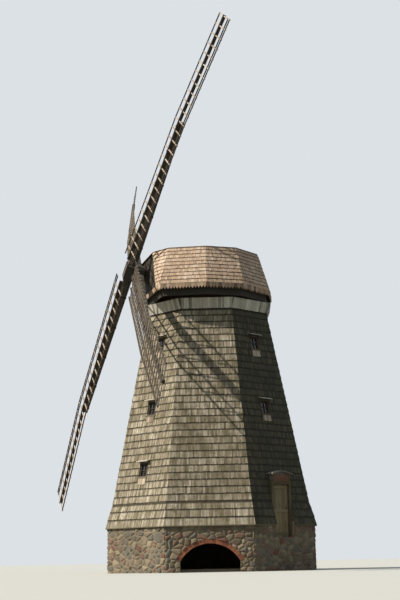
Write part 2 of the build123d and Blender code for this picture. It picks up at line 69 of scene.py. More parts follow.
place = Matrix(np.column_stack([right, np.cross(-gaze, right), -gaze]).tolist()).to_4x4()
place.translation = (DISTANCE * math.sin(BEARING), -DISTANCE * math.cos(BEARING), EYE_HEIGHT)
camera.matrix_world = place
scene.collection.objects.link(camera)
scene.camera = camera
scene.view_settings.view_transform = "Standard"


# Light and ground: one lamp high on the left, as the sun stands in the photo, and an even pale
# surround. The plain floor looks pale to the camera, and gives back little light to the object.
def linear(code):
    """A hex sRGB colour as linear RGBA."""
    c = np.array([int(code[i:i + 2], 16) for i in (1, 3, 5)]) / 255
    return (*np.where(c <= 0.04045, c / 12.92, ((c + 0.055) / 1.055) ** 2.4).tolist(), 1.0)


def add(tree, kind, inputs=None, **settings):
    """Adds a node. Settings are its own options; inputs are socket values, or outputs to link there."""
    node = tree.nodes.new("ShaderNode" + kind)
    for key, value in settings.items():
        setattr(node, key, value)
    for key, value in (inputs or {}).items():
        if isinstance(value, bpy.types.NodeSocket):
            tree.links.new(value, node.inputs[key])
        else:
            node.inputs[key].default_value = value
    return node


SUN_BEARING, SUN_HEIGHT, SUN_SPREAD = (math.radians(turn) for turn in (-71, 41, 0.8))
SUN_POWER, SKY_POWER = 4.6, 0.32
lamp = bpy.data.objects.new("key_lamp", bpy.data.lights.new("key_lamp", "SUN"))
lamp.data.energy = SUN_POWER
lamp.data.angle = SUN_SPREAD
lamp.data.color = linear("#FFF4E4")[:3]
lamp.rotation_euler = (math.pi / 2 - SUN_HEIGHT, 0, SUN_BEARING)
scene.collection.objects.link(lamp)

world = bpy.data.worlds.new("surround")
scene.world = world
world.use_nodes = True
tree = world.node_tree
tree.nodes.clear()
rays = add(tree, "LightPath").outputs
seen = add(tree, "Math", {0: rays["Is Camera Ray"], 1: rays["Is Glossy Ray"]}, operation="MAXIMUM")
seen = add(tree, "Math", {0: seen.outputs[0], 1: rays["Is Transmission Ray"]}, operation="MAXIMUM")
fill = add(tree, "Background", {"Color": linear("#DCE6F2"), "Strength": SKY_POWER})
backdrop = add(tree, "Background", {"Color": linear("#DCE1E6"), "Strength": 1.0})
shown = add(tree, "MixShader", {0: seen.outputs[0], 1: fill.outputs[0], 2: backdrop.outputs[0]})
add(tree, "OutputWorld", {"Surface": shown.outputs[0]})

FLOOR_REACH, FLOOR_DROP = 300.0, 0.002
floor_mesh = bpy.data.meshes.new("floor")
floor_mesh.from_pydata([(x * FLOOR_REACH, y * FLOOR_REACH, -FLOOR_DROP)
                        for x, y in ((-1, -1), (1, -1), (1, 1), (-1, 1))], [], [(0, 1, 2, 3)])
floor = bpy.data.objects.new("floor", floor_mesh)
scene.collection.objects.link(floor)
ground = bpy.data.materials.new("pale_floor")
ground.use_nodes = True
tree = ground.node_tree
rays = add(tree, "LightPath").outputs
shown = add(tree, "Mix", {0: rays["Is Camera Ray"], 6: linear("#77786C"), 7: linear("#CDD0CC")},
            data_type="RGBA")
tree.links.new(shown.outputs[2], tree.nodes["Principled BSDF"].inputs["Base Color"])
tree.nodes["Principled BSDF"].inputs["Roughness"].default_value = 0.9
floor_mesh.materials.append(ground)
floor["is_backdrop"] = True


# Masonry base: field stones of granite and limestone bedded in pale lime mortar, 600 mm thick,
# brought up to eight flat sides. Each side's outer face is worked here over the plain wall.
HALF_TURN = math.tan(math.radians(22.5))
BASE_APOTHEM, BASE_TOP = 3.76, 1.60
STONE_STEP, STONE_RELIEF, JOINT, BED = 0.022, 0.050, 0.016, (0.235, 0.165)
BED_SHIFT, BEDS_DROPPED, BED_REACH, BED_STRETCH = (0.45, 0.40), 0.14, 0.010, 1.25
STONE_FLATTEST, STONE_ROUND, MORTAR_LIFT, CORNER_FADE, MORTAR_FALL = 0.55, 0.055, 0.004, 0.03, 2.5
ARCH_HALF, ARCH_SPRING, ARCH_CROWN, ARCH_RING = 1.05, 0.38, 0.99, 0.24
ARCH_RADIUS = (ARCH_HALF ** 2 + (ARCH_CROWN - ARCH_SPRING) ** 2) / (2 * (ARCH_CROWN - ARCH_SPRING))
ARCH_CENTRE = ARCH_CROWN - ARCH_RADIUS
DOOR_SIDE, DOOR_SILL, DOOR_OPENING = 1, 1.18, 0.50
RING_COVER, SPRING_LAPS = 0.6, (0.02, 0.05)
BOULDERS, BOULDER_GREY, BOULDER_CLEAR, BOULDER_PULL = {7: [(1.24, 1.2, 0.26)]}, 0.85, 0.9, 0.55


def put(name, points, faces, finish, body, uv=None, tone=None, smooth=False):
    """A mesh piece that rides on a body. uv and tone hold one row for each point."""
    mesh = bpy.data.meshes.new(name)
    mesh.from_pydata(np.asarray(points).reshape(-1, 3).tolist(), [], faces)
    corners = np.empty(len(mesh.loops), np.int32)
    mesh.loops.foreach_get("vertex_index", corners)
    if uv is not None:
        spread = np.asarray(uv).reshape(-1, 2)[corners]
        mesh.uv_layers.new(name="grain").data.foreach_set("uv", spread.ravel())
    if tone is not None:
        shades = np.ones((len(mesh.vertices), 4))
        shades[:, :3] = np.asarray(tone).reshape(-1, 3)
        mesh.attributes.new("tone", "FLOAT_COLOR", "POINT").data.foreach_set("color", shades.ravel())
    mesh.polygons.foreach_set("use_smooth", [smooth] * len(mesh.polygons))
    mesh.materials.append(finish)
    piece = bpy.data.objects.new(name, mesh)
    scene.collection.objects.link(piece)
    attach(piece, body)
    return piece


def side_axes(side):
    """Outward and left-to-right directions of one of the eight sides, as level vectors."""
    turn = math.radians(45 * side - 90)
    return np.array([math.cos(turn), math.sin(turn), 0.0]), np.array([-math.sin(turn), math.cos(turn), 0.0])


def open_finish(name):
    """A new material's node tree and shader, with its object coordinates."""
    finish = bpy.data.materials.new(name)
    finish.use_nodes = True
    tree = finish.node_tree
    return finish, tree, tree.nodes["Principled BSDF"], add(tree, "TexCoord").outputs["Object"]


def read_tone(tree):
    """The red, green and blue of a piece's tone."""
    tone = add(tree, "Attribute", attribute_name="tone")
    return add(tree, "SeparateColor", {0: tone.outputs["Color"]}).outputs


def coats(tree, colour, layers):
    """A colour under coats of others. Each coat has a source, the source's values where the coat
    starts and where it is full, the share it then covers, and its colour."""
    for source, start, full, share, code in layers:
        cover = add(tree, "MapRange", {0: source, 1: start, 2: full, 4: share})
        mix = add(tree, "Mix", {0: cover.outputs[0], 6: colour, 7: linear(code)}, data_type="RGBA")
        colour = mix.outputs[2]
    return colour


def dress(tree, shader, colour, height, depth, strength):
    """Gives the shader its colour, and a bump as deep as given where the height goes from 0 to 1."""
    tree.links.new(colour, shader.inputs["Base Color"])
    bump = add(tree, "Bump", {"Height": height, "Distance": depth, "Strength": strength})
    tree.links.new(bump.outputs[0], shader.inputs["Normal"])


def fieldstone(name):
    """Split and rolled field stones: matt, each its own pinkish, sandy or grey, speckled by its
    minerals, with chalky lime mortar smeared between. The tone's red and green pick the stone's
    colour and its blue says where the mortar is."""
    finish, tree, shader, place = open_finish(name)
    red, green, blue = read_tone(tree)
    mineral = add(tree, "TexNoise",
                  {"Vector": place, "Scale": 70.0, "Detail": 6.0, "Roughness": 0.7}).outputs[0]
    sandy = add(tree, "Mix", {0: red, 6: linear("#6B6050"), 7: linear("#A69880")}, data_type="RGBA")
    layers = [(green, 0.50, 0.56, 1.0, "#86695C"), (green, 0.68, 0.72, 1.0, "#716E66"),
              (green, 0.965, 0.97, 1.0, "#7C5548"), (mineral, 0.56, 0.66, 0.5, "#4B453C")]
    stone = coats(tree, sandy.outputs[2], layers)
    mortar = add(tree, "Mix", {0: mineral, 6: linear("#6A614F"), 7: linear("#A69C86")}, data_type="RGBA")
    ragged = add(tree, "Math", {0: blue, 1: mineral}, operation="ADD")
    bed = add(tree, "MapRange", {0: ragged.outputs[0], 1: 0.95, 2: 1.1})
    wall = add(tree, "Mix", {0: bed.outputs[0], 6: stone, 7: mortar.outputs[2]}, data_type="RGBA")
    damp = add(tree, "TexNoise", {"Vector": place, "Scale": 1.3, "Detail": 3.0})
    wall = coats(tree, wall.outputs[2], [(damp.outputs[0], 0.45, 0.75, 0.55, "#5B5340")])
    shader.inputs["Roughness"].default_value = 0.92
    dress(tree, shader, wall, mineral, 0.006, 0.8)
    return finish


def rubble_face(side, rng):
    """Face of one base side as a grid over its width and height. Stones are the cells nearest to
    jittered bed points, wider than high; the face stands out by a dome that rises with the distance
    to the cell's edge and falls to the mortar at the joint."""
    out, across = side_axes(side)
    half = BASE_APOTHEM * HALF_TURN
    u = np.linspace(-half, half, int(2 * half / STONE_STEP) + 1)
    z = np.linspace(0.0, BASE_TOP, int(BASE_TOP / STONE_STEP) + 1)
    if side == DOOR_SIDE:
        for edge in (-DOOR_OPENING, DOOR_OPENING):
            u[np.abs(u - edge).argmin()] = edge
        z[np.abs(z - DOOR_SILL).argmin()] = DOOR_SILL
    rows = np.arange(-0.1, BASE_TOP + 0.3, BED[1])
    bed_u, bed_z = np.meshgrid(np.arange(-half - 0.2, half + 0.3, BED[0]), rows)
    stagger = (np.arange(len(rows)) % 2)[:, None] * BED[0] / 2
    bed_u = bed_u + stagger + rng.uniform(-BED_SHIFT[0], BED_SHIFT[0], bed_u.shape) * BED[0]
    bed_z = bed_z + rng.uniform(-BED_SHIFT[1], BED_SHIFT[1], bed_z.shape) * BED[1]
    beds = np.stack([bed_u.ravel(), bed_z.ravel()], -1)
    beds = beds[rng.random(len(beds)) > BEDS_DROPPED]
    reach = rng.uniform(0.0, BED_REACH, len(beds))
    for x, y, size in BOULDERS.get(side, ()):
        near = np.hypot(beds[:, 0] - x, beds[:, 1] - y) < size * BOULDER_CLEAR
        beds, reach = beds[~near], reach[~near]
        beds, reach = np.vstack([beds, [x, y]]), np.append(reach, size ** 2 * BOULDER_PULL)
    grid_u, grid_z = np.meshgrid(u, z)
    spot = np.stack([grid_u.ravel(), grid_z.ravel()], -1)
    cost = (((spot[:, None] - beds[None]) / np.array([BED_STRETCH, 1.0])) ** 2).sum(-1) - reach
    order = np.argsort(cost, axis=1)[:, :2]
    first, second = (np.take_along_axis(cost, order[:, i:i + 1], 1)[:, 0] for i in (0, 1))
    apart = np.linalg.norm(beds[order[:, 0]] - beds[order[:, 1]], axis=1)
    edge = (second - first) / (2 * apart)
    rise = np.clip((edge - JOINT / 2) / STONE_ROUND, 0, 1)
    stone = rng.uniform(STONE_FLATTEST, 1.0, len(beds))[order[:, 0]]
    height = STONE_RELIEF * stone * np.sqrt(1 - (1 - rise) ** 2)
    border = np.minimum(half - np.abs(spot[:, 0]), CORNER_FADE) / CORNER_FADE
    height = MORTAR_LIFT + height * np.clip(border, 0, 1) ** 0.5
    red, green = (rng.random(len(beds))[order[:, 0]] for _ in range(2))
    green = np.where(order[:, 0] >= len(beds) - len(BOULDERS.get(side, ())), BOULDER_GREY, green)
    tone = np.stack([red, green, np.clip(1 - rise * MORTAR_FALL, 0, 1)], -1)
    widen = 1 + height / BASE_APOTHEM
    points = out * (BASE_APOTHEM + height)[:, None] + across * (spot[:, 0] * widen)[:, None]
    points[:, 2] = spot[:, 1]
    index = np.arange(len(spot)).reshape(grid_u.shape)
    quads = np.stack([index[:-1, :-1], index[:-1, 1:], index[1:, 1:], index[1:, :-1]], -1).reshape(-1, 4)
    mid = spot[quads].mean(1)
    keep = np.ones(len(quads), bool)
    if side == 0:
        keep = np.hypot(mid[:, 0], mid[:, 1] - ARCH_CENTRE) > ARCH_RADIUS + RING_COVER * ARCH_RING
        keep |= mid[:, 1] < ARCH_SPRING - SPRING_LAPS[0]
        keep &= ~((np.abs(mid[:, 0]) < ARCH_HALF) & (mid[:, 1] < ARCH_SPRING + SPRING_LAPS[1]))
    if side == DOOR_SIDE:
        keep = ~((np.abs(mid[:, 0]) < DOOR_OPENING) & (mid[:, 1] > DOOR_SILL))
    return points, quads[keep], tone


rubble_stone = fieldstone("fieldstone_in_lime_mortar")
for side in range(8):
    points, quads, tone = rubble_face(side, np.random.default_rng(40 + side))
    put(f"rubble_face_{side}", points, quads.tolist(), rubble_stone, "tower", tone=tone,
        smooth=True)


# Arch: a ring of fired clay bricks on end, five deep through the wall, in the same mortar, with
# the joints raked back so that every brick stands a little clear of the next.
BRICK, BRICK_JOINT, BRICK_PROUD, BRICK_UNDER, BRICK_ROWS, WALL = 0.066, 0.011, 0.014, 0.006, 5, 0.60


def prisms(back, front):
    """Points and faces of n prisms with k sides, from two (n, k, 3) arrays of outline corners that
    run anticlockwise seen from the front."""
    n, k = back.shape[:2]
    points = np.concatenate([back, front], 1)
    ring = np.arange(k)
    nxt = (ring + 1) % k
    base = (np.arange(n) * 2 * k)[:, None]
    sides = np.stack([ring, nxt, nxt + k, ring + k], -1)
    faces = (base[:, :, None] + sides[None]).reshape(-1, 4).tolist()
    faces += (base + ring[::-1]).tolist() + (base + ring + k).tolist()
    return points, faces


def brickwork(name, pale, deep):
    """Hand-made clay bricks: dry and matt, from orange to liver red by their place in the kiln, with
    lime bloom on the arrises. The tone's red picks the colour."""
    finish, tree, shader, place = open_finish(name)
    clay = add(tree, "Mix", {0: read_tone(tree)[0], 6: linear(pale), 7: linear(deep)}, data_type="RGBA")
    sand = add(tree, "TexNoise",
               {"Vector": place, "Scale": 45.0, "Detail": 5.0, "Roughness": 0.65}).outputs[0]
    shader.inputs["Roughness"].default_value = 0.9
    dress(tree, shader, coats(tree, clay.outputs[2], [(sand, 0.52, 0.72, 0.45, "#B9A58C")]), sand, 0.004, 0.7)
    return finish


def arch_bricks(rng):
    """Bricks as blocks between two radii, evenly turned about the arch's centre, in rows from the
    wall's outer face inwards."""
    sweep = math.asin(ARCH_HALF / ARCH_RADIUS)
    count = round(2 * sweep * (ARCH_RADIUS + ARCH_RING / 2) / (BRICK + BRICK_JOINT))
    pitch = 2 * sweep / count
    middles = -sweep + pitch * (np.arange(count) + 0.5)
    turn, row = (a.ravel() for a in np.meshgrid(middles, np.arange(BRICK_ROWS)))
    half = pitch / 2 - BRICK_JOINT / 2 / ARCH_RADIUS
    low = ARCH_RADIUS - BRICK_UNDER + rng.uniform(-0.004, 0.004, turn.shape)
    high = ARCH_RADIUS + ARCH_RING + rng.uniform(-0.006, 0.006, turn.shape)
    depth = WALL / BRICK_ROWS
    y_front = -BASE_APOTHEM + row * depth - np.where(row == 0, BRICK_PROUD, 0)
    y_front = y_front + rng.uniform(-0.006, 0.004, turn.shape)
    y_back = -BASE_APOTHEM + (row + 1) * depth - BRICK_JOINT
    angle = np.stack([turn - half, turn + half, turn + half, turn - half], -1)
    radius = np.stack([low, low, high, high], -1)
    x, z = radius * np.sin(angle), ARCH_CENTRE + radius * np.cos(angle)
    back, front = (np.stack([x, np.repeat(y[:, None], 4, 1), z], -1) for y in (y_back, y_front))
    tone = np.repeat(rng.random((len(turn), 1, 3)), 8, 1)
    return (*prisms(back, front), tone)


points, faces, tone = arch_bricks(np.random.default_rng(7))
put("arch_bricks", points, faces, brickwork("handmade_red_brick", "#B0704F", "#7A4334"), "tower",
    tone=tone)


# Tower cladding: split spruce shingles, silvered by the weather, nailed to boarding in courses of
# about 260 mm. Each is thickest at its lower end and lies over the heads of the course below.
FOOT_A, FOOT_Z, NECK_A, NECK_Z = 3.59, 2.47, 2.238, 9.61
SKIRT_A, SKIRT_Z = 3.87, 1.58
LEAN = math.atan2(FOOT_A - NECK_A, NECK_Z - FOOT_Z)
SHINGLE_WIDTH, COURSE, BUTT, SLIVER = 0.062, 0.262, 0.024, 0.010
SHINGLE_REACH, HEAD_THINNED, BACK_LIFT = 1.25, 6, 0.2
WIDTH_SPREAD, THICK_SPREAD, JOINT_SPREAD, GRAIN_SPREAD = (0.6, 1.4), (0.55, 1.2), (0.002, 0.007), 9
WINDOWS = {7: (3.65, 5.92, 8.35), 1: (5.88, 8.33), 3: (3.65, 5.92, 8.35), 5: (3.65, 5.92, 8.35)}
WINDOW_HALF, TRIM_GAP = (0.215, 0.26), 0.01
DOOR_HEAD = 3.14


def aged_wood(name, pale, mid, dark, grain=(0.010, 0.22), turn=None, moss=None, relief=0.0025, rough=0.86,
              patch=0.9, butt_shade_and_dirt=0.0, odd=0.7):
    """Weathered softwood: matt, ridged along the grain where the soft rings have worn away, pale on
    the ridges and dark between them, each board its own shade, with damp or moss in broad patches.
    It follows the piece's grain map, or for a solid of one direction object space turned by turn.
    Painted shade, with some drip dirt, darkens the top of a shingle's visible face under the butt of
    the course above, by the tone's blue; odd is how far about one board in four is darker than the
    rest. Grain is drawn 10 mm wide so that it shows."""
    finish, tree, shader, place = open_finish(name)
    if turn is None:
        shade, hue, under_butt_mask = read_tone(tree)
        run, scale = add(tree, "TexCoord").outputs["UV"], (1 / grain[0], 1 / grain[1], 1.0)
    else:
        shade, hue = (add(tree, "TexNoise", {"Vector": place, "Scale": size, "Detail": 2.0}).outputs[0]
                      for size in (2.3, 0.9))
        run = add(tree, "Mapping", {"Vector": place, "Rotation": turn}).outputs[0]
        scale = (1 / grain[0], 1 / grain[1], 1 / grain[0])
    run = add(tree, "Mapping", {"Vector": run, "Scale": scale}).outputs[0]
    rings = add(tree, "TexNoise", {"Vector": run, "Scale": 1.0, "Detail": 5.0, "Roughness": 0.65}).outputs[0]
    wide = add(tree, "TexNoise",
               {"Vector": place, "Scale": patch, "Detail": 4.0, "Roughness": 0.6}).outputs[0]
    wood = add(tree, "Mix", {0: shade, 6: linear(mid), 7: linear(pale)}, data_type="RGBA")
    layers = [(wide, 0.38, 0.66, 0.75, mid), (rings, 0.50, 0.68, 0.8, dark), (hue, 0.72, 0.95, odd, dark)]
    # Painted shade under the butt of the course above, which also stands for drip dirt.
    if butt_shade_and_dirt:
        layers.append((under_butt_mask, 0.58, 0.72, butt_shade_and_dirt, dark))
    if moss:
        damp = add(tree, "TexNoise", {"Vector": place, "Scale": 3.1, "Detail": 6.0, "Roughness": 0.7})
        layers.append((damp.outputs[0], 0.47, 0.68, 0.7, moss))
    dull = add(tree, "MapRange", {0: rings, 3: rough - 0.08, 4: rough + 0.08})
    tree.links.new(dull.outputs[0], shader.inputs["Roughness"])
    dress(tree, shader, coats(tree, wood.outputs[2], layers), rings, relief, 0.8)
    return finish


def shingle_field(corners, exposure, width, butt, rng, holes=(), first=None, mitre=0.4, ragged=0.010,
                  crease=0):
    """Courses of tapered shingles on a flat panel, given by its foot left, foot right, head right and
    head left corners seen from outside. A shingle covers a quarter more than its exposure; its face
    falls in a straight line from the butt's thickness to a sixth of it, and its edges stand where the
    running sum of random widths says, cut at the panel's edges and at holes (x, y, half x, half y).
    A twisted panel has a crease from its right foot to its left head (-1) or the other way (1)."""
    foot_left, foot_right, head_right, head_left = (np.asarray(c, float) for c in corners)
    across = (foot_right - foot_left) / np.linalg.norm(foot_right - foot_left)
    out = np.cross(across, head_left - foot_left)
    out /= np.linalg.norm(out)
    up = np.cross(out, across)
    rise, span = (head_left - foot_left) @ up, (foot_right - foot_left) @ across
    lean_left, lean_right = (head_left - foot_left) @ across / rise, (head_right - foot_right) @ across / rise
    rows = max(1, round(rise / exposure))
    step = rise / rows
    start = min(0.0, lean_left * rise)
    need = max(span, span + lean_right * rise) - start
    columns = int(need / width * 1.15) + 5
    widths = width * rng.uniform(*WIDTH_SPREAD, (rows, columns))
    edges = start - width + np.cumsum(widths, 1) - widths[:, :1] * rng.random((rows, 1))
    x0, x1 = edges[:, :-1], edges[:, 1:] - rng.uniform(*JOINT_SPREAD, (rows, columns - 1))
    course = np.arange(rows)[:, None]
    y0 = course * step + ragged * rng.uniform(-1, 1, x0.shape) * (course > 0)
    y1 = np.minimum((course + SHINGLE_REACH) * step, rise) + 0 * x0
    keep = np.ones(x0.shape, bool)
    for hole_x, hole_y, half_x, half_y in holes:
        low_x, high_x, low_y, high_y = hole_x - half_x, hole_x + half_x, hole_y - half_y, hole_y + half_y
        meets = (x1 > low_x) & (x0 < high_x) & (y1 > low_y) & (y0 < high_y)
        inside = meets & (x0 >= low_x) & (x1 <= high_x)
        x1 = np.where(meets & (x0 < low_x), np.minimum(x1, low_x), x1)
        x0 = np.where(meets & (x1 > high_x), np.maximum(x0, high_x), x0)
        below, over = inside & (y0 < low_y), inside & (y0 >= low_y) & (y1 > high_y)
        y1 = np.where(below, np.minimum(y1, low_y), y1)
        y0 = np.where(over, high_y, y0)
        keep &= ~(inside & ~below & ~over)
    skew = 0.5 * ragged * rng.uniform(-1, 1, x0.shape)
    thick = butt * rng.uniform(*THICK_SPREAD, x0.shape)
    if first is not None:
        thick[0] = first
    x = np.stack([x0, x1, x1, x0], -1)
    y = np.stack([y0 + skew, y0 - skew, y1, y1], -1)
    none = 0 * thick
    lift_back = np.stack([BACK_LIFT * thick, BACK_LIFT * thick, none, none], -1)
    lift_front = np.stack([thick, thick, butt / HEAD_THINNED + none, butt / HEAD_THINNED + none], -1)
    sheets = []
    for lift in (lift_back, lift_front):
        cut = np.clip(x, lean_left * y - mitre * lift, span + lean_right * y + mitre * lift)
        spots = foot_left + cut[..., None] * across + y[..., None] * up
        if crease:
            high = (y / rise)[..., None]
            along = ((cut - lean_left * y) / (span + (lean_right - lean_left) * y))[..., None]
            left_edge = foot_left + high * (head_left - foot_left)
            right_edge = foot_right + high * (head_right - foot_right)
            crease_foot, crease_head = (foot_right, head_left) if crease < 0 else (foot_left, head_right)
            fold = crease_foot + high * (crease_head - crease_foot)
            near, far = (np.linalg.norm(gap, axis=-1, keepdims=True)
                         for gap in (fold - left_edge, right_edge - fold))
            share = np.clip(near / (near + far), 1e-6, 1 - 1e-6)
            spots = np.where(along < share, left_edge + (fold - left_edge) * along / share,
                             fold + (right_edge - fold) * (along - share) / (1 - share))
        sheets.append(spots + lift[..., None] * out)
    left_end, right_end = (np.clip(end, lean_left * y0, span + lean_right * y0) for end in (x0, x1))
    keep &= right_end - left_end > SLIVER
    back, front = (sheet[keep] for sheet in sheets)
    n = len(back)
    own = rng.random((n, 1, 2))
    # The tone's blue runs from 0 at the butt to 1 at the head; the painted shade under the next course reads it.
    shades = np.concatenate([np.repeat(own, 4, 1), np.tile([[[0.0], [0.0], [1.0], [1.0]]], (n, 1, 1))], -1)
    grain = np.stack([x[keep], y[keep]], -1) + rng.uniform(0, GRAIN_SPREAD, (n, 1, 2))
    return back, front, np.concatenate([grain, grain], 1), np.concatenate([shades, shades], 1)


def clad(name, fields, finish, body):
    """One piece from several fields of shingles or boards."""
    back, front, grain, shades = (np.concatenate(part) for part in zip(*fields))
    points, faces = prisms(back, front)
    return put(name, points, faces, finish, body, uv=grain, tone=shades)


def side_panel(side, low, z_low, high, z_high):
    """Corners of an octagon's side between two apothems and two heights."""
    out, across = side_axes(side)
    spots = [(low, -1, z_low), (low, 1, z_low), (high, 1, z_high), (high, -1, z_high)]
    return [out * a + across * a * HALF_TURN * hand + np.array([0, 0, z]) for a, hand, z in spots]


# Most sides have bleached to a warm silver with some moss; two out of the sun stay wet, dark and green,
# partly from damp and partly as painted shade.
old_shingles = aged_wood("silvered_spruce_shingles", "#D6CDBA", "#837961", "#25221A", grain=(0.010, 0.30),
                         moss="#524D2B", butt_shade_and_dirt=0.92, odd=0.4)
shaded_shingles = aged_wood("damp_spruce_shingles_painted_shade", "#66634E", "#3A392A", "#171710", grain=(0.010, 0.30),
                            moss="#2C2F1A", butt_shade_and_dirt=0.85, odd=0.5)
SHADED_DAMP_SIDES, DOORWAY_MIDDLE, DOORWAY_HALF = (1, 2), 0.5, 2.0
SKIRT_LOWEST, FIRST_COURSE = SKIRT_Z + 0.03, 0.004
skirt_low_a = SKIRT_A - (SKIRT_LOWEST - SKIRT_Z) * (SKIRT_A - FOOT_A) / (FOOT_Z - SKIRT_Z)
for side in range(8):
    rng = np.random.default_rng(100 + side)
    doorway = [(SKIRT_A * HALF_TURN, DOORWAY_MIDDLE, DOOR_OPENING, DOORWAY_HALF)] if side == DOOR_SIDE else []
    skirt = shingle_field(side_panel(side, skirt_low_a, SKIRT_LOWEST, FOOT_A, FOOT_Z), COURSE, SHINGLE_WIDTH,
                          BUTT, rng, doorway, first=FIRST_COURSE)
    holes = [(FOOT_A * HALF_TURN, (z - FOOT_Z) / math.cos(LEAN), WINDOW_HALF[0] + TRIM_GAP,
              WINDOW_HALF[1] + TRIM_GAP) for z in WINDOWS.get(side, ())]
    if side == DOOR_SIDE:
        holes.append((FOOT_A * HALF_TURN, 0.0, DOOR_OPENING, (DOOR_HEAD - FOOT_Z) / math.cos(LEAN)))
    batter = shingle_field(side_panel(side, FOOT_A, FOOT_Z, NECK_A, NECK_Z), COURSE, SHINGLE_WIDTH, BUTT,
                           rng, holes)
    clad(f"shingles_{side}", [skirt, batter], shaded_shingles if side in SHADED_DAMP_SIDES else old_shingles,
         "tower")


# Collar: one course of long upright shingles that flares out under the cap and throws the rain
# clear of the curb. Sun and driven rain have bleached it almost to silver; its near white is partly
# painted light, as the cap's shade lies over it.
COLLAR_FOOT_A, COLLAR_TOP_A, COLLAR_TOP, COLLAR_COURSE = 2.27, 2.43, 9.98, 0.5
COLLAR_WIDTH, COLLAR_BUTT, COLLAR_RAGGED = 0.085, 0.028, 0.03
silver_lit_shingles = aged_wood("bleached_upright_shingles_painted_light", "#F4F2E8", "#C9C6B8", "#5A574C", grain=(0.010, 0.45))
rng = np.random.default_rng(61)
clad("collar_shingles", [shingle_field(side_panel(side, COLLAR_FOOT_A, NECK_Z, COLLAR_TOP_A, COLLAR_TOP),
                                       COLLAR_COURSE, COLLAR_WIDTH, COLLAR_BUTT, rng, ragged=COLLAR_RAGGED)
                         for side in range(8)], silver_lit_shingles, "tower")


# Windows: small oak frames let into the cladding, with one upright and one cross bar over dusty
# panes, a sloping board as hood and another as sill. A few newer, paler shingles mend the
# cladding under each, where the drips from the sill wore the old ones out.
def wall_axes(side, z):
    """Centre, outward, across and up directions of the battered wall at height z on a side."""
    out, across = side_axes(side)
    centre = out * (FOOT_A - (z - FOOT_Z) * math.tan(LEAN)) + np.array([0, 0, z])
    normal = out * math.cos(LEAN) + np.array([0, 0, math.sin(LEAN)])
    return centre, normal, across, np.cross(normal, across)


def beams(starts, ends, width, depth, up, rng):
    """Square-edged timbers from start to end points: width across both the run and 'up', depth along
    what is left. Grain runs along, and each has its own shade."""
    starts, ends, up = (np.atleast_2d(np.asarray(a, float)) for a in (starts, ends, up))
    run = ends - starts
    length = np.linalg.norm(run, axis=1, keepdims=True)
    run = run / length
    across = np.cross(up, run)
    across /= np.linalg.norm(across, axis=1, keepdims=True)
    rise = np.cross(run, across)
    width, depth = (np.broadcast_to(np.asarray(a, float), (len(run),))[:, None] for a in (width, depth))
    section = np.stack([across * width / 2 * a + rise * depth / 2 * b
                        for a, b in ((-1, -1), (1, -1), (1, 1), (-1, 1))], 1)
    n = len(run)
    place = rng.uniform(0, GRAIN_SPREAD, (n, 1, 2))
    side = np.stack([np.zeros_like(width), width, width + depth, 2 * width + depth], 1)[..., 0]
    near = np.stack([side, 0 * side], -1) + place
    far = np.stack([side, 0 * side + length], -1) + place
    shades = np.repeat(rng.uniform(0.0, 1.0, (n, 1, 3)) * (1, 0.8, 1), 8, 1)
    return starts[:, None] + section, ends[:, None] + section, np.concatenate([near, far], 1), shades


def upright_boards(origin, across, out, lefts, rights, lows, highs, thick, rng):
    """Boards that stand on a wall: each a block between its left and right, low and high, as thick
    as given, measured from origin along across, the wall's up and out. A board sawn aslant has one
    high for its left edge and one for its right."""
    up = np.cross(out, across)
    highs = np.stack([highs, highs], -1) if np.ndim(highs) == 1 else highs
    x = np.stack([lefts, rights, rights, lefts], -1)
    y = np.stack([lows, lows, highs[:, 1], highs[:, 0]], -1)
    back = origin + x[..., None] * across + y[..., None] * up
    front = back + np.asarray(thick, float).reshape(-1, 1, 1) * out
    grain = np.stack([x, y], -1) + rng.uniform(0, GRAIN_SPREAD, (len(x), 1, 2))
    shades = np.repeat(rng.random((len(x), 1, 3)), 8, 1)
    return back, front, np.concatenate([grain, grain], 1), shades


def soften(piece, width):
    """Planed or worn arrises on a piece made of separate blocks."""
    edge = piece.modifiers.new("arris", "BEVEL")
    edge.width, edge.segments, edge.limit_method = width, 1, "ANGLE"
    return piece


def paint_node(name, finish):
    """Gives a CAD node one finish."""
    slots = nodes[name].data.materials
    slots.clear()
    slots.append(finish)


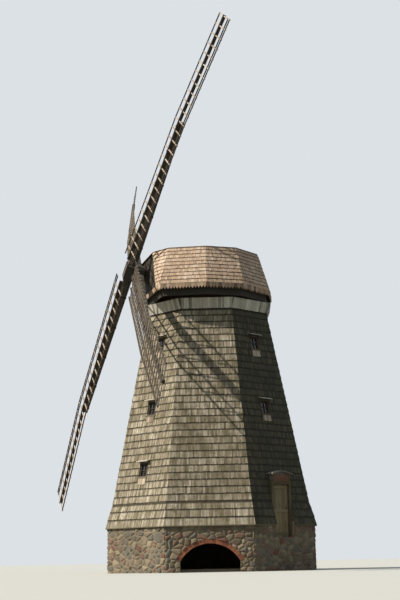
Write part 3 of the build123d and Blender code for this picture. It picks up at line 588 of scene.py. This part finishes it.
# Oak keeps the brown of its oil, its bars a little greyer; hoods and sills are pine gone silver and dirty.
pale_boards = aged_wood("silvered_pine_boards", "#E2DFD4", "#B7B2A3", "#5F594A", turn=(0.0, math.pi / 2, 0.0))
oak_frames = aged_wood("oiled_oak_frames", "#54453A", "#3B2F27", "#1E1813", turn=(0.0, 0.0, 0.0))
BAR_SINK, BAR_UP, BAR_ACROSS, BAR_SIZE, BOARD_SPREAD = 0.052, 0.21, 0.165, (0.028, 0.03), 0.004
SILL_DROP, SILL_PROUD, SILL_HALF, SILL_SIZE = 0.285, 0.02, 0.25, (0.03, 0.07)
PATCHES, PATCH_WIDTH, PATCH_LOW, PATCH_HIGH, PATCH_HALF, PATCH_THICK = 5, 0.075, -0.53, -0.29, 0.20, 0.029
muntins, sills, patches = [], [], []
rng = np.random.default_rng(300)
for side, heights in WINDOWS.items():
    for z in heights:
        centre, normal, across, up = wall_axes(side, z)
        deep = centre - normal * BAR_SINK
        muntins.append(beams([deep - up * BAR_UP, deep - across * BAR_ACROSS],
                             [deep + up * BAR_UP, deep + across * BAR_ACROSS], *BAR_SIZE, normal, rng))
        foot = centre - up * SILL_DROP + normal * SILL_PROUD
        sills.append(beams(foot - across * SILL_HALF, foot + across * SILL_HALF, *SILL_SIZE, up, rng))
        lefts = np.linspace(-PATCH_HALF, PATCH_HALF, PATCHES + 1)[:-1]
        patches.append(upright_boards(centre, across, normal, lefts, lefts + PATCH_WIDTH,
                                      PATCH_LOW + rng.uniform(-0.01, 0.01, PATCHES),
                                      np.full(PATCHES, PATCH_HIGH),
                                      PATCH_THICK + rng.uniform(0, BOARD_SPREAD, PATCHES), rng))
soften(clad("window_bars", muntins, aged_wood("window_bar_wood", "#54483D", "#3D332B", "#211B16"), "tower"), 0.003)
soften(clad("window_sills", sills, aged_wood("sill_boards", "#8C8270", "#5F5747", "#2C271E"), "tower"), 0.004)
clad("window_patches", patches, aged_wood("mended_spruce_shingles", "#DDD0BD", "#B3A48D", "#544839"), "tower")
paint_node("window_frames", oak_frames)
paint_node("window_hoods", pale_boards)


def old_glass(name):
    """Cylinder window glass: clear and slightly green, its polish dulled by dust in the corners; its
    dark grey tint is painted shade of the dim room behind.
    """
    finish, tree, shader, place = open_finish(name)
    dust = add(tree, "TexNoise", {"Vector": place, "Scale": 9.0, "Detail": 4.0})
    film = add(tree, "MapRange", {0: dust.outputs[0], 1: 0.35, 2: 0.75, 3: 0.05, 4: 0.35})
    tree.links.new(film.outputs[0], shader.inputs["Roughness"])
    # Dark grey-green tint: painted shade of the room behind, varied by the dust.
    dust_and_shade_tint = add(tree, "Mix", {0: dust.outputs[0], 6: linear("#4A5350"), 7: linear("#6C726D")},
                data_type="RGBA")
    tree.links.new(dust_and_shade_tint.outputs[2], shader.inputs["Base Color"])
    shader.inputs["IOR"].default_value = 1.5
    shader.inputs["Transmission Weight"].default_value = 0.85
    return finish


paint_node("window_glass", old_glass("dusty_window_glass_painted_shade"))


# Door: a ledged plank door hung inside a rebated casing under a small gabled board roof. Planks
# and casing are pine gone olive brown; the lintel boards were once painted ox red.
DOOR_FACE, LEAF_HALF, LEAF_LOW, LEAF_HIGH = 3.54, 0.404, 1.186, 3.044
PLANKS, PLANK, PLANK_GAP, ROW_GAP, PLANK_THICK = 5, 0.161, 0.006, 0.004, 0.014
LEDGES, LEDGE_HALF, LEDGE_PROUD, LEDGE_SIZE = (2.10, 1.30, 2.93), 0.395, 0.026, (0.022, 0.085)
door_out, door_across = side_axes(DOOR_SIDE)
UP = np.array([0.0, 0.0, 1.0])
rng = np.random.default_rng(21)
lefts = -LEAF_HALF + PLANK * np.arange(PLANKS) + PLANK_GAP / 2
thick = PLANK_THICK + rng.uniform(0, BOARD_SPREAD, PLANKS)
door_origin = door_out * DOOR_FACE
planks = [upright_boards(door_origin, door_across, door_out, lefts, lefts + PLANK - PLANK_GAP,
                         np.full(PLANKS, low + ROW_GAP), np.full(PLANKS, high - ROW_GAP), thick, rng)
          for low, high in ((LEAF_LOW, LEDGES[0]), (LEDGES[0], LEAF_HIGH))]
ledge_ends = [[door_origin + door_out * LEDGE_PROUD + door_across * hand * LEDGE_HALF + UP * z
               for z in LEDGES] for hand in (-1, 1)]
ledges = beams(*ledge_ends, *LEDGE_SIZE, UP, rng)
plank_wood = aged_wood("olive_brown_pine_planks", "#A79A78", "#7E7355", "#3F3826", grain=(0.009, 0.35))
soften(clad("door_planks", [*planks, ledges], plank_wood, "door"), 0.003)
UPRIGHT, LYING = (math.pi / 2, 0.0, 0.0), (0.0, math.pi / 2, 0.0)
for name, wood, colours, turn in (
        ("door_leaf", "door_back_boards", ("#9B8E6E", "#766B50", "#3B3425"), UPRIGHT),
        ("door_casing", "olive_brown_casing_wood", ("#7F7458", "#5A5039", "#2B261A"), UPRIGHT),
        ("door_roof", "silvered_roof_frame", ("#A5A398", "#757267", "#3A372F"), LYING)):
    paint_node(name, aged_wood(wood, *colours, turn=turn))

ROOF_LOW, ROOF_RISE, ROOF_HALF, ROOF_BACK, ROOF_OUT = 3.415, 0.11, 0.525, 3.38, 3.74
ROOF_BOARDS, ROOF_GAP, ROOF_LIFT, ROOF_THICK, ROOF_SPREAD = 4, 0.002, 0.001, 0.010, 0.005
roof_run = np.linspace(ROOF_BACK, ROOF_OUT, ROOF_BOARDS + 1)
roof_near, roof_far = roof_run[:-1] + ROOF_GAP, roof_run[1:] - ROOF_GAP
tiles = []
for hand in (-1, 1):
    inner, outer = UP * (ROOF_LOW + ROOF_RISE), door_across * hand * ROOF_HALF + UP * ROOF_LOW
    flat = np.stack([[inner + door_out * n, outer + door_out * n, outer + door_out * f, inner + door_out * f]
                     for n, f in zip(roof_near, roof_far)])
    flat = flat if hand > 0 else flat[:, ::-1]
    grain = np.tile([[0.0, 0.0], [0.0, 0.5], [0.1, 0.5], [0.1, 0.0]], (ROOF_BOARDS, 1, 1))
    grain = grain + rng.uniform(0, GRAIN_SPREAD, (ROOF_BOARDS, 1, 2))
    shades = np.repeat(rng.random((ROOF_BOARDS, 1, 3)), 8, 1)
    top = flat + UP * (ROOF_THICK + rng.uniform(0, ROOF_SPREAD, (ROOF_BOARDS, 1, 1)))
    tiles.append((flat + UP * ROOF_LIFT, top, np.concatenate([grain, grain], 1), shades))
CASING_FACE, LINTEL_HALF, LINTEL_THICK = 3.64, np.array([0.41, 0.41]), np.array([0.016, 0.012])
LINTEL_LOW, LINTEL_HIGH = np.array([3.142, 3.265]), np.array([3.258, 3.375])
lintel = upright_boards(door_out * CASING_FACE, door_across, door_out, -LINTEL_HALF, LINTEL_HALF,
                        LINTEL_LOW, LINTEL_HIGH, LINTEL_THICK, rng)
clad("door_lintel_boards", [lintel], aged_wood("worn_red_lintel_boards", "#9C7362", "#74523F", "#3B2920"),
     "tower")
clad("door_roof_boards", tiles, aged_wood("silvered_roof_boards", "#C6C4BA", "#918D80", "#464238"), "tower")


def wrought_iron(name):
    """Forged iron left bare: blackened scale gone to dull brown rust where the rain lies."""
    finish, tree, shader, place = open_finish(name)
    scale = add(tree, "TexNoise",
                {"Vector": place, "Scale": 26.0, "Detail": 6.0, "Roughness": 0.65}).outputs[0]
    rust = add(tree, "MapRange", {0: scale, 1: 0.42, 2: 0.62}).outputs[0]
    skin = add(tree, "Mix", {0: rust, 6: linear("#2B2927"), 7: linear("#5B3E2C")}, data_type="RGBA")
    bare = add(tree, "MapRange", {0: rust, 3: 0.8, 4: 0.05})
    tree.links.new(bare.outputs[0], shader.inputs["Metallic"])
    shader.inputs["Roughness"].default_value = 0.62
    dress(tree, shader, skin.outputs[2], scale, 0.002, 0.6)
    return finish


def ring(centre, axis, start, radius, thick, around, section):
    """A ring of round bar: a small circle carried round a large one about an axis."""
    u, v = np.meshgrid(*(np.arange(n) * 2 * math.pi / n for n in (around, section)), indexing="ij")
    out = np.cos(u)[..., None] * start + np.sin(u)[..., None] * np.cross(axis, start)
    points = centre + out * (radius + thick * np.cos(v))[..., None] + axis * (thick * np.sin(v))[..., None]
    index = np.arange(around * section).reshape(around, section)
    far, high = np.roll(index, -1, 0), np.roll(index, -1, 1)
    return points, np.stack([index, far, np.roll(far, -1, 1), high], -1).reshape(-1, 4).tolist()


LATCH_OUT, LATCH_ACROSS, LATCH_Z = 0.026, 0.30, 2.20
LATCH_RADIUS, LATCH_THICK, LATCH_STEPS = 0.045, 0.007, (20, 8)
iron = wrought_iron("bare_wrought_iron")
latch_spot = door_out * (DOOR_FACE + LATCH_OUT) + door_across * LATCH_ACROSS + UP * LATCH_Z
points, faces = ring(latch_spot, door_out, UP, LATCH_RADIUS, LATCH_THICK, *LATCH_STEPS)
put("door_ring", points, faces, iron, "door", smooth=True)


# Cap: a tarred frame of twelve corners under newer shingles, still tan and pinkish, in ten courses
# on its steep sides and wider ones on the low hipped top. All its plan is set out from the
# windshaft's direction, x forwards and y to the left.
CAP_TURN = math.radians(196.2)
CAP_PLAN = np.array([(2.48, 1.85), (2.40, 2.27), (0.82, 2.94), (-0.63, 2.85), (-1.98, 1.76), (-2.44, 0.56)])
RIM_PLAN = np.vstack([[(2.41, 1.09)], CAP_PLAN[1:] * 0.82])
EAVES, RIM, RIDGE, RIDGE_SHARE, CORNERS = 10.45, 11.93, 12.29, 0.3, 12
CAP_COURSE, CAP_WIDTH, CAP_BUTT, CAP_MITRE, CAP_RAGGED = 0.152, 0.072, 0.022, 0.2, 0.006
TOP_COURSE, TOP_WIDTH, TOP_BUTT, TOP_FIRST = 0.20, 0.12, 0.016, 0.008
cap_turn = np.array([[math.cos(CAP_TURN), math.sin(CAP_TURN)], [-math.sin(CAP_TURN), math.cos(CAP_TURN)]])


def cap_corners(plan, z):
    """World corners of a plan of the cap, given by its left half, at height z."""
    whole = np.vstack([plan, plan[::-1] * (1, -1)])
    return np.column_stack([whole @ cap_turn, np.full(len(whole), z)])


def cap_panel(low, high, i):
    """Corners of the cap's side i between two rings of corners."""
    j = (i + 1) % CORNERS
    return low[i], low[j], high[j], high[i]


# A few summers old: the wood's own pinkish tan; the black line under each course is painted shade
# and drip dirt.
new_shingles = aged_wood("fresh_spruce_shingles", "#F0DCC6", "#C9AD92", "#3B2E24", grain=(0.012, 0.22),
                         patch=1.6, butt_shade_and_dirt=0.9, odd=0.25)
eaves, rim, ridge = (cap_corners(plan, z) for plan, z in ((CAP_PLAN, EAVES), (RIM_PLAN, RIM),
                                                         (RIM_PLAN * RIDGE_SHARE, RIDGE)))
CREASED = {0: -1, 10: 1}
for name, edges in {"left": range(0, 4), "tail": range(4, 7), "right": range(7, 11)}.items():
    rng = np.random.default_rng(len(name))
    fields = [shingle_field(cap_panel(eaves, rim, i), CAP_COURSE, CAP_WIDTH, CAP_BUTT, rng, mitre=CAP_MITRE,
                            first=FIRST_COURSE, ragged=CAP_RAGGED, crease=CREASED.get(i, 0)) for i in edges]
    clad(f"cap_shingles_{name}", fields, new_shingles, "cap")
rng = np.random.default_rng(88)
clad("cap_top_shingles", [shingle_field(cap_panel(rim, ridge, i), TOP_COURSE, TOP_WIDTH, TOP_BUTT, rng,
                                        mitre=0.0, first=TOP_FIRST, ragged=CAP_RAGGED)
                          for i in range(CORNERS)],
     new_shingles, "cap")


# Ridge: the flat middle of the cap's top is boarded over, front and back half apart, and its boards
# lie over the heads of the top shingles.
RIDGE_BOARDS, RIDGE_LAP, RIDGE_NARROW = 10, 1.08, 0.98
RIDGE_GAP, RIDGE_LIFT, RIDGE_THICK = 0.002, 0.004, 0.022
top_plan = RIM_PLAN * RIDGE_SHARE * RIDGE_LAP
reach = top_plan[3, 1] * RIDGE_NARROW
edges = np.linspace(-reach, reach, RIDGE_BOARDS + 1)
lefts, rights = edges[:-1] + RIDGE_GAP, edges[1:] - RIDGE_GAP
strip = np.abs(np.stack([lefts, rights], -1))
ends = {-1: np.interp(strip, top_plan[5:2:-1, 1], -top_plan[5:2:-1, 0]),
        1: np.interp(strip, top_plan[:3, 1], top_plan[:3, 0])}
rng = np.random.default_rng(93)
ridge_boards = []
for hand, far in ends.items():
    across = np.append(cap_turn.T @ (0.0, -hand), 0.0)
    ridge_boards.append(upright_boards(UP * (RIDGE + RIDGE_LIFT), across, UP, lefts, rights,
                                       np.full(RIDGE_BOARDS, RIDGE_GAP), far,
                                       RIDGE_THICK + rng.uniform(0, BOARD_SPREAD, RIDGE_BOARDS), rng))
clad("cap_ridge_boards", ridge_boards, aged_wood("greyed_ridge_boards", "#C9BBA8", "#9C8D79", "#453A2E"),
     "cap")


# Fringe: short boards sawn to a point, nailed edge to edge under the eaves all round the cap to
# keep the weather off the curb; as new as the shingles, and sawn, so plainer in the grain.
TOOTH, POINT, FRINGE_DROP, FRINGE_THICK, TOOTH_GAP = 0.118, 0.085, 0.22, 0.028, 0.004
TOOTH_SHORT, TOOTH_SUNK = 0.01, 0.006


def fringe_boards(rng):
    """Pointed boards along the eaves: each outline is a rectangle whose lower end runs to a point
    at its middle."""
    backs, fronts, grains, shades = [], [], [], []
    for start, end in zip(eaves, np.roll(eaves, -1, 0)):
        length = np.linalg.norm(end - start)
        across = (end - start) / length
        out = np.cross(across, UP)
        n = max(1, round(length / TOOTH))
        pitch = length / n
        left = np.arange(n) * pitch + TOOTH_GAP / 2
        wide = pitch - TOOTH_GAP
        low = -FRINGE_DROP + rng.uniform(0, TOOTH_SHORT, n)
        x = np.stack([left, left + wide / 2, left + wide, left + wide, left], -1)
        y = np.stack([low + POINT, low, low + POINT, 0 * low, 0 * low], -1)
        face = start + x[..., None] * across + y[..., None] * UP
        fronts.append(face - out * rng.uniform(0.0, TOOTH_SUNK, (n, 1, 1)))
        backs.append(face - out * FRINGE_THICK)
        grain = np.stack([x, y], -1) + rng.uniform(0, GRAIN_SPREAD, (n, 1, 2))
        grains.append(np.concatenate([grain, grain], 1))
        shades.append(np.repeat(rng.random((n, 1, 3)), 10, 1))
    return tuple(np.concatenate(a) for a in (backs, fronts, grains, shades))


fringe_wood = aged_wood("sawn_fringe_boards", "#DCC8B0", "#AF947A", "#45362A", grain=(0.012, 0.22))
fringe = clad("fringe_boards", [fringe_boards(np.random.default_rng(5))], fringe_wood, "cap")
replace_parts(fringe, "cap_fringe")


# Breast and soffit: upright boards close the front of the cap round the windshaft, and level boards
# close the eaves. Their brown black is tar and painted shade, as both lie out of the sun.
BREAST_HALF, BREAST_TOP_HALF, BREAST_FOOT, BREAST_HEAD, BREAST_BOARDS = 1.76, 1.0, 2.39, 2.32, 21
HOLE, BREAST_GAP, BREAST_SHORT, BREAST_THICK, BREAST_SPREAD = 0.286, 0.006, 0.01, 0.022, 0.006
HUB_OUT, HUB_UP, TILT = 2.92, 11.34, math.radians(14.2)
# Dark tar colours, deepened as painted shade for faces out of the sun.
TAR_AND_SHADE = ("#4A443A", "#332F29", "#191714")
tar_and_shade_boards = aged_wood("pine_boards_tar_and_painted_shade", *TAR_AND_SHADE, grain=(0.012, 0.4))
tar_and_shade_level_boards = aged_wood("soffit_boards_tar_and_painted_shade", *TAR_AND_SHADE, turn=(0.0, 0.0, -CAP_TURN))
cap_forward = np.array([math.cos(CAP_TURN), math.sin(CAP_TURN), 0.0])
cap_left = np.array([-math.sin(CAP_TURN), math.cos(CAP_TURN), 0.0])
breast_rise = math.hypot(RIM - EAVES, BREAST_FOOT - BREAST_HEAD)
breast_out = cap_forward * (RIM - EAVES) / breast_rise + UP * (BREAST_FOOT - BREAST_HEAD) / breast_rise
rng = np.random.default_rng(17)
lefts = np.linspace(-BREAST_HALF, BREAST_HALF, BREAST_BOARDS + 1)[:-1]
rights = lefts + 2 * BREAST_HALF / BREAST_BOARDS - BREAST_GAP
tops = (BREAST_HALF - np.abs(np.stack([lefts, rights], -1))) / (BREAST_HALF - BREAST_TOP_HALF) * breast_rise
tops = np.minimum(tops, breast_rise - BREAST_SHORT)
fall = (BREAST_FOOT - BREAST_HEAD) / (RIM - EAVES)
hole_x = (BREAST_FOOT + (EAVES - HUB_UP + HUB_OUT * math.tan(TILT)) * fall) / (1 + fall * math.tan(TILT))
hole_y = (HUB_UP - (HUB_OUT - hole_x) * math.tan(TILT) - EAVES) * breast_rise / (RIM - EAVES)
near = np.minimum(np.abs(lefts), np.abs(rights)) * (lefts * rights > 0)
cut = np.sqrt(np.clip(HOLE ** 2 - near ** 2, 0, None))
thick = BREAST_THICK + rng.uniform(0, BREAST_SPREAD, len(lefts))
breast_origin = cap_forward * BREAST_FOOT + UP * EAVES
split = cut > 0
breast = [upright_boards(breast_origin, cap_left, breast_out, lefts, rights, 0 * lefts,
                         np.where(split[:, None], (hole_y - cut)[:, None], tops), thick, rng),
          upright_boards(breast_origin, cap_left, breast_out, lefts[split], rights[split],
                         (hole_y + cut)[split], tops[split], thick[split], rng)]
soften(clad("breast_boards", breast, tar_and_shade_boards, "cap"), 0.003)
# The breast and soffit plates get the same tar and painted shade.
paint_node("cap_breast", tar_and_shade_level_boards)
paint_node("cap_soffit", tar_and_shade_level_boards)


# Windshaft, head and stocks: one long pine log, squared at the head and mortised for two stocks
# that cross there; black with old tar, its outer grain opened and bleached grey.
HUB = cap_forward * HUB_OUT + UP * HUB_UP
wind = cap_forward * math.cos(TILT) + UP * math.sin(TILT)
lift = -cap_forward * math.sin(TILT) + UP * math.cos(TILT)
SAIL_ANGLE = math.radians(32.2)
arm_x = lift * math.cos(SAIL_ANGLE) + cap_left * math.sin(SAIL_ANGLE)
STOCK_DEPTH, STOCK_WIDTH, STOCK_REACH, STOCK_END, HEAD_WIDTH, HEAD_LENGTH = 0.32, 0.26, 6.15, 0.13, 0.56, 0.76


def arm_axes(arm):
    """Along, across and wind directions of a sail's arm, and its stock's middle at the hub."""
    turn = math.radians(90 * arm)
    along = arm_x * math.cos(turn) + np.cross(wind, arm_x) * math.sin(turn)
    return along, np.cross(wind, along), HUB + wind * (0.5 - arm % 2) * STOCK_DEPTH


def log_wood(name, along, across):
    """Tarred pine whose grain runs along, by the turn that lays object space's y on it: black and
    split, with the ridges of its grain worn pale."""
    turned = Matrix([across.tolist(), along.tolist(), np.cross(across, along).tolist()])
    return aged_wood(name, "#6E6A62", "#3E3A34", "#161411", grain=(0.02, 0.7),
                     turn=tuple(turned.to_euler("XYZ")), relief=0.004)


for stock in range(2):
    paint_node(f"stock_{stock + 1}", log_wood(f"tarred_pine_stock_{stock + 1}", *arm_axes(stock)[:2]))
shaft_wood = log_wood("weathered_pine_log", wind, arm_x)
paint_node("windshaft", shaft_wood)
paint_node("sail_head", shaft_wood)


# Sails: pine whips clamped to the stocks' windward faces, bars mortised through them and laths
# nailed over the bars, all bare and silver brown. The bars on one stock are parallel, so its two
# sails lean opposite ways seen along their arms.
WHIP_WIDTH, WHIP_DEPTH, SAIL_HEEL, KNEE, SAIL_REACH, SAIL_BEND = 0.11, 0.12, 0.46, 6.17, 10.36, 0.34
LEAD, TRAIL, SAIL_PITCH, BAR_STEP, BAR, BAR_OVER = 0.68, 0.91, math.radians(8), 0.382, 0.040, 0.012
LATH_WIDTH, LATH_THICK, BAR_PAST_LATH, LATH_OVER, LATH_IN, LATH_SHORT = 0.06, 0.04, 0.03, 0.010, 0.02, 0.012
SAIL_HANDS, INNER_LATHS, BAR_SPREAD = (1, -1, -1, 1), (0.70, 0.52, 0.70, 0.52), 0.012
STOCK_SLOPE = (STOCK_DEPTH - STOCK_END) / (STOCK_REACH - HEAD_WIDTH / 2)


def whip_height(rho):
    """Height of a whip's middle over its stock's middle: down the stock's tapered face, then in a
    straight line to leeward past the knee."""
    on_stock = STOCK_DEPTH / 2 - (np.minimum(rho, KNEE) - HEAD_WIDTH / 2) * STOCK_SLOPE
    past_knee = np.maximum(0, rho - KNEE) / (SAIL_REACH - KNEE) * SAIL_BEND
    return on_stock + WHIP_DEPTH / 2 * math.hypot(1, STOCK_SLOPE) - past_knee


def on_sail(arm, rho, y, over=BAR_OVER):
    """World points of a sail's lattice at radius rho and y across, and over its bars' middle plane."""
    along, across, centre = arm_axes(arm)
    rho, y = np.broadcast_arrays(np.asarray(rho, float), np.asarray(y, float))
    pitch = SAIL_HANDS[arm] * SAIL_PITCH
    return (centre + rho[..., None] * along + (y * math.cos(pitch))[..., None] * across
            + (whip_height(rho) + over + y * math.sin(pitch))[..., None] * wind)


def bar_places():
    """Radii of the bars, evenly stepped inwards and outwards from the knee."""
    inward = np.arange(KNEE, SAIL_HEEL, -BAR_STEP)[::-1]
    outward = np.linspace(KNEE, SAIL_REACH - BAR, round((SAIL_REACH - KNEE) / BAR_STEP) + 1)[1:]
    return np.concatenate([inward, outward])


# Whips still hold some stain and look dark. The laths' dark is painted shade, and the thin bars'
# bone pale is bleaching and painted light, near the brightness of the sky around them.
whip_wood = aged_wood("silver_brown_pine_whips", "#5A5145", "#38312A", "#181511", grain=(0.012, 0.5))
shaded_lath_wood = aged_wood("pine_laths_painted_shade", "#5C5244", "#3D352B", "#1B1713", grain=(0.009, 0.3))
pale_lit_bar_wood = aged_wood("bleached_sail_bars_painted_light", "#DACFC0", "#AE9F8C", "#4A3F34", grain=(0.009, 0.3))
knots = np.array([SAIL_HEEL, KNEE, SAIL_REACH])
for arm in range(4):
    rng = np.random.default_rng(200 + arm)
    along, _, centre = arm_axes(arm)
    spine = centre + knots[:, None] * along + whip_height(knots)[:, None] * wind
    whip = clad(f"sail_whip_{arm + 1}", [beams(spine[:-1], spine[1:], WHIP_WIDTH, WHIP_DEPTH, wind, rng)],
                whip_wood, "sails")
    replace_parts(soften(whip, 0.008), f"sail_{arm + 1}_whip")
    rho = bar_places()
    low, high = rng.uniform(-BAR_SPREAD, 0.0, (2, len(rho)))
    rungs = beams(on_sail(arm, rho, -TRAIL - low), on_sail(arm, rho, LEAD + high), BAR, BAR, wind, rng)
    bars = clad(f"sail_bars_{arm + 1}", [rungs], pale_lit_bar_wood, "sails")
    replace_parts(soften(bars, 0.004), f"sail_{arm + 1}_lattice")
    inset, laths = LATH_WIDTH / 2 + BAR_PAST_LATH, []
    runs = np.array([SAIL_HEEL + LATH_IN, KNEE, SAIL_REACH - LATH_SHORT])
    for y in (-TRAIL + inset, -TRAIL * INNER_LATHS[arm], LEAD - inset):
        line = on_sail(arm, runs, y, BAR_OVER + LATH_OVER)
        laths.append(beams(line[:-1], line[1:], LATH_WIDTH, LATH_THICK, wind, rng))
    soften(clad(f"sail_laths_{arm + 1}", laths, shaded_lath_wood, "sails"), 0.004)


# Ironwork: flat straps clamp each whip to its stock, two bands hold the squared head together in
# front of and behind its mortises, and a hoop is shrunk on the shaft's neck, all of wrought iron.
STRAPS, STRAP_WIDTH, STRAP_THICK, STRAP_CLEAR = (1.05, 2.35, 3.65, 4.95, 5.95), 0.055, 0.010, 0.007
HEAD_BANDS, BAND_WIDTH, NECK, HOOP, HOOP_BACK, HOOP_STEPS = (-0.35, 0.35), 0.045, 0.24, 0.012, 0.05, (48, 8)


def strap(middle, across, up, half, low, high, width, rng):
    """Four flat bars round a rectangle of timber: half to each side along across, from low to high
    along up, their width along the timber."""
    posts = [middle + across * half * a + up * b for a, b in ((-1, low), (1, low), (1, high), (-1, high))]
    outs = [across * a + up * b for a, b in ((0, -1), (1, 0), (0, 1), (-1, 0))]
    return beams(posts, posts[1:] + posts[:1], width, STRAP_THICK, outs, rng)


straps = []
for arm in range(4):
    along, across, centre = arm_axes(arm)
    for rho in STRAPS:
        half = (STOCK_WIDTH - rho / STOCK_REACH * (STOCK_WIDTH - STOCK_END)) / 2 + STRAP_CLEAR
        high = float(whip_height(rho)) + WHIP_DEPTH / 2 + STRAP_CLEAR
        straps.append(strap(centre + rho * along, across, wind, half, -STOCK_DEPTH / 2 - STRAP_CLEAR, high,
                            STRAP_WIDTH, rng))
half = HEAD_WIDTH / 2 + STRAP_CLEAR
for place in HEAD_BANDS:
    straps.append(strap(HUB + wind * place, arm_x, np.cross(wind, arm_x), half, -half, half, BAND_WIDTH, rng))
soften(clad("sail_straps", straps, iron, "sails"), 0.002)
points, faces = ring(HUB - wind * (HEAD_LENGTH / 2 + HOOP_BACK), wind, arm_x, NECK + HOOP / 2, HOOP,
                     *HOOP_STEPS)
put("shaft_hoop", points, faces, iron, "sails", smooth=True)


# Inside: plank floors on joists, the oak curb the cap turns on, the cap's beams and the boarding
# behind the shingles, seen only through the openings; and the mortared core of the base's walls.
inner_boards = aged_wood("dusty_floor_boards", "#A88D68", "#80684A", "#403222", turn=(0.0, 0.0, 0.0))
inner_oak = aged_wood("dark_oak_framing", "#7B634A", "#594633", "#2C2218", turn=(0.0, 0.0, -CAP_TURN))
backing = aged_wood("pine_backing_boards", "#8D8470", "#655D4B", "#322D22", turn=(0.0, 0.0, 0.0))


def lime_mortar(name):
    """Lime and sand mortar over hidden rubble: chalky, uneven and stained by damp."""
    finish, tree, shader, place = open_finish(name)
    sand = add(tree, "TexNoise", {"Vector": place, "Scale": 14.0, "Detail": 8.0, "Roughness": 0.7}).outputs[0]
    lime = add(tree, "Mix", {0: sand, 6: linear("#7F7662"), 7: linear("#BDB39B")}, data_type="RGBA")
    shader.inputs["Roughness"].default_value = 0.95
    dress(tree, shader, lime.outputs[2], sand, 0.01, 0.8)
    return finish


for finish, names in (
        (inner_boards, ["ground_floor", "upper_floors"]),
        (inner_oak, ["curb", "cap_frame"]),
        (backing, ["collar", "cap_side_left", "cap_side_right", "cap_tail", "cap_top"]),
        (backing, [f"tower_side_{side}" for side in range(8)]),
        (lime_mortar("lime_mortar"), ["arch_ring", "undercroft_floor"]
         + [f"base_wall_{part}" for part in ("front", "door", "right", "back", "left")])):
    for name in names:
        paint_node(name, finish)

low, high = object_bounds()
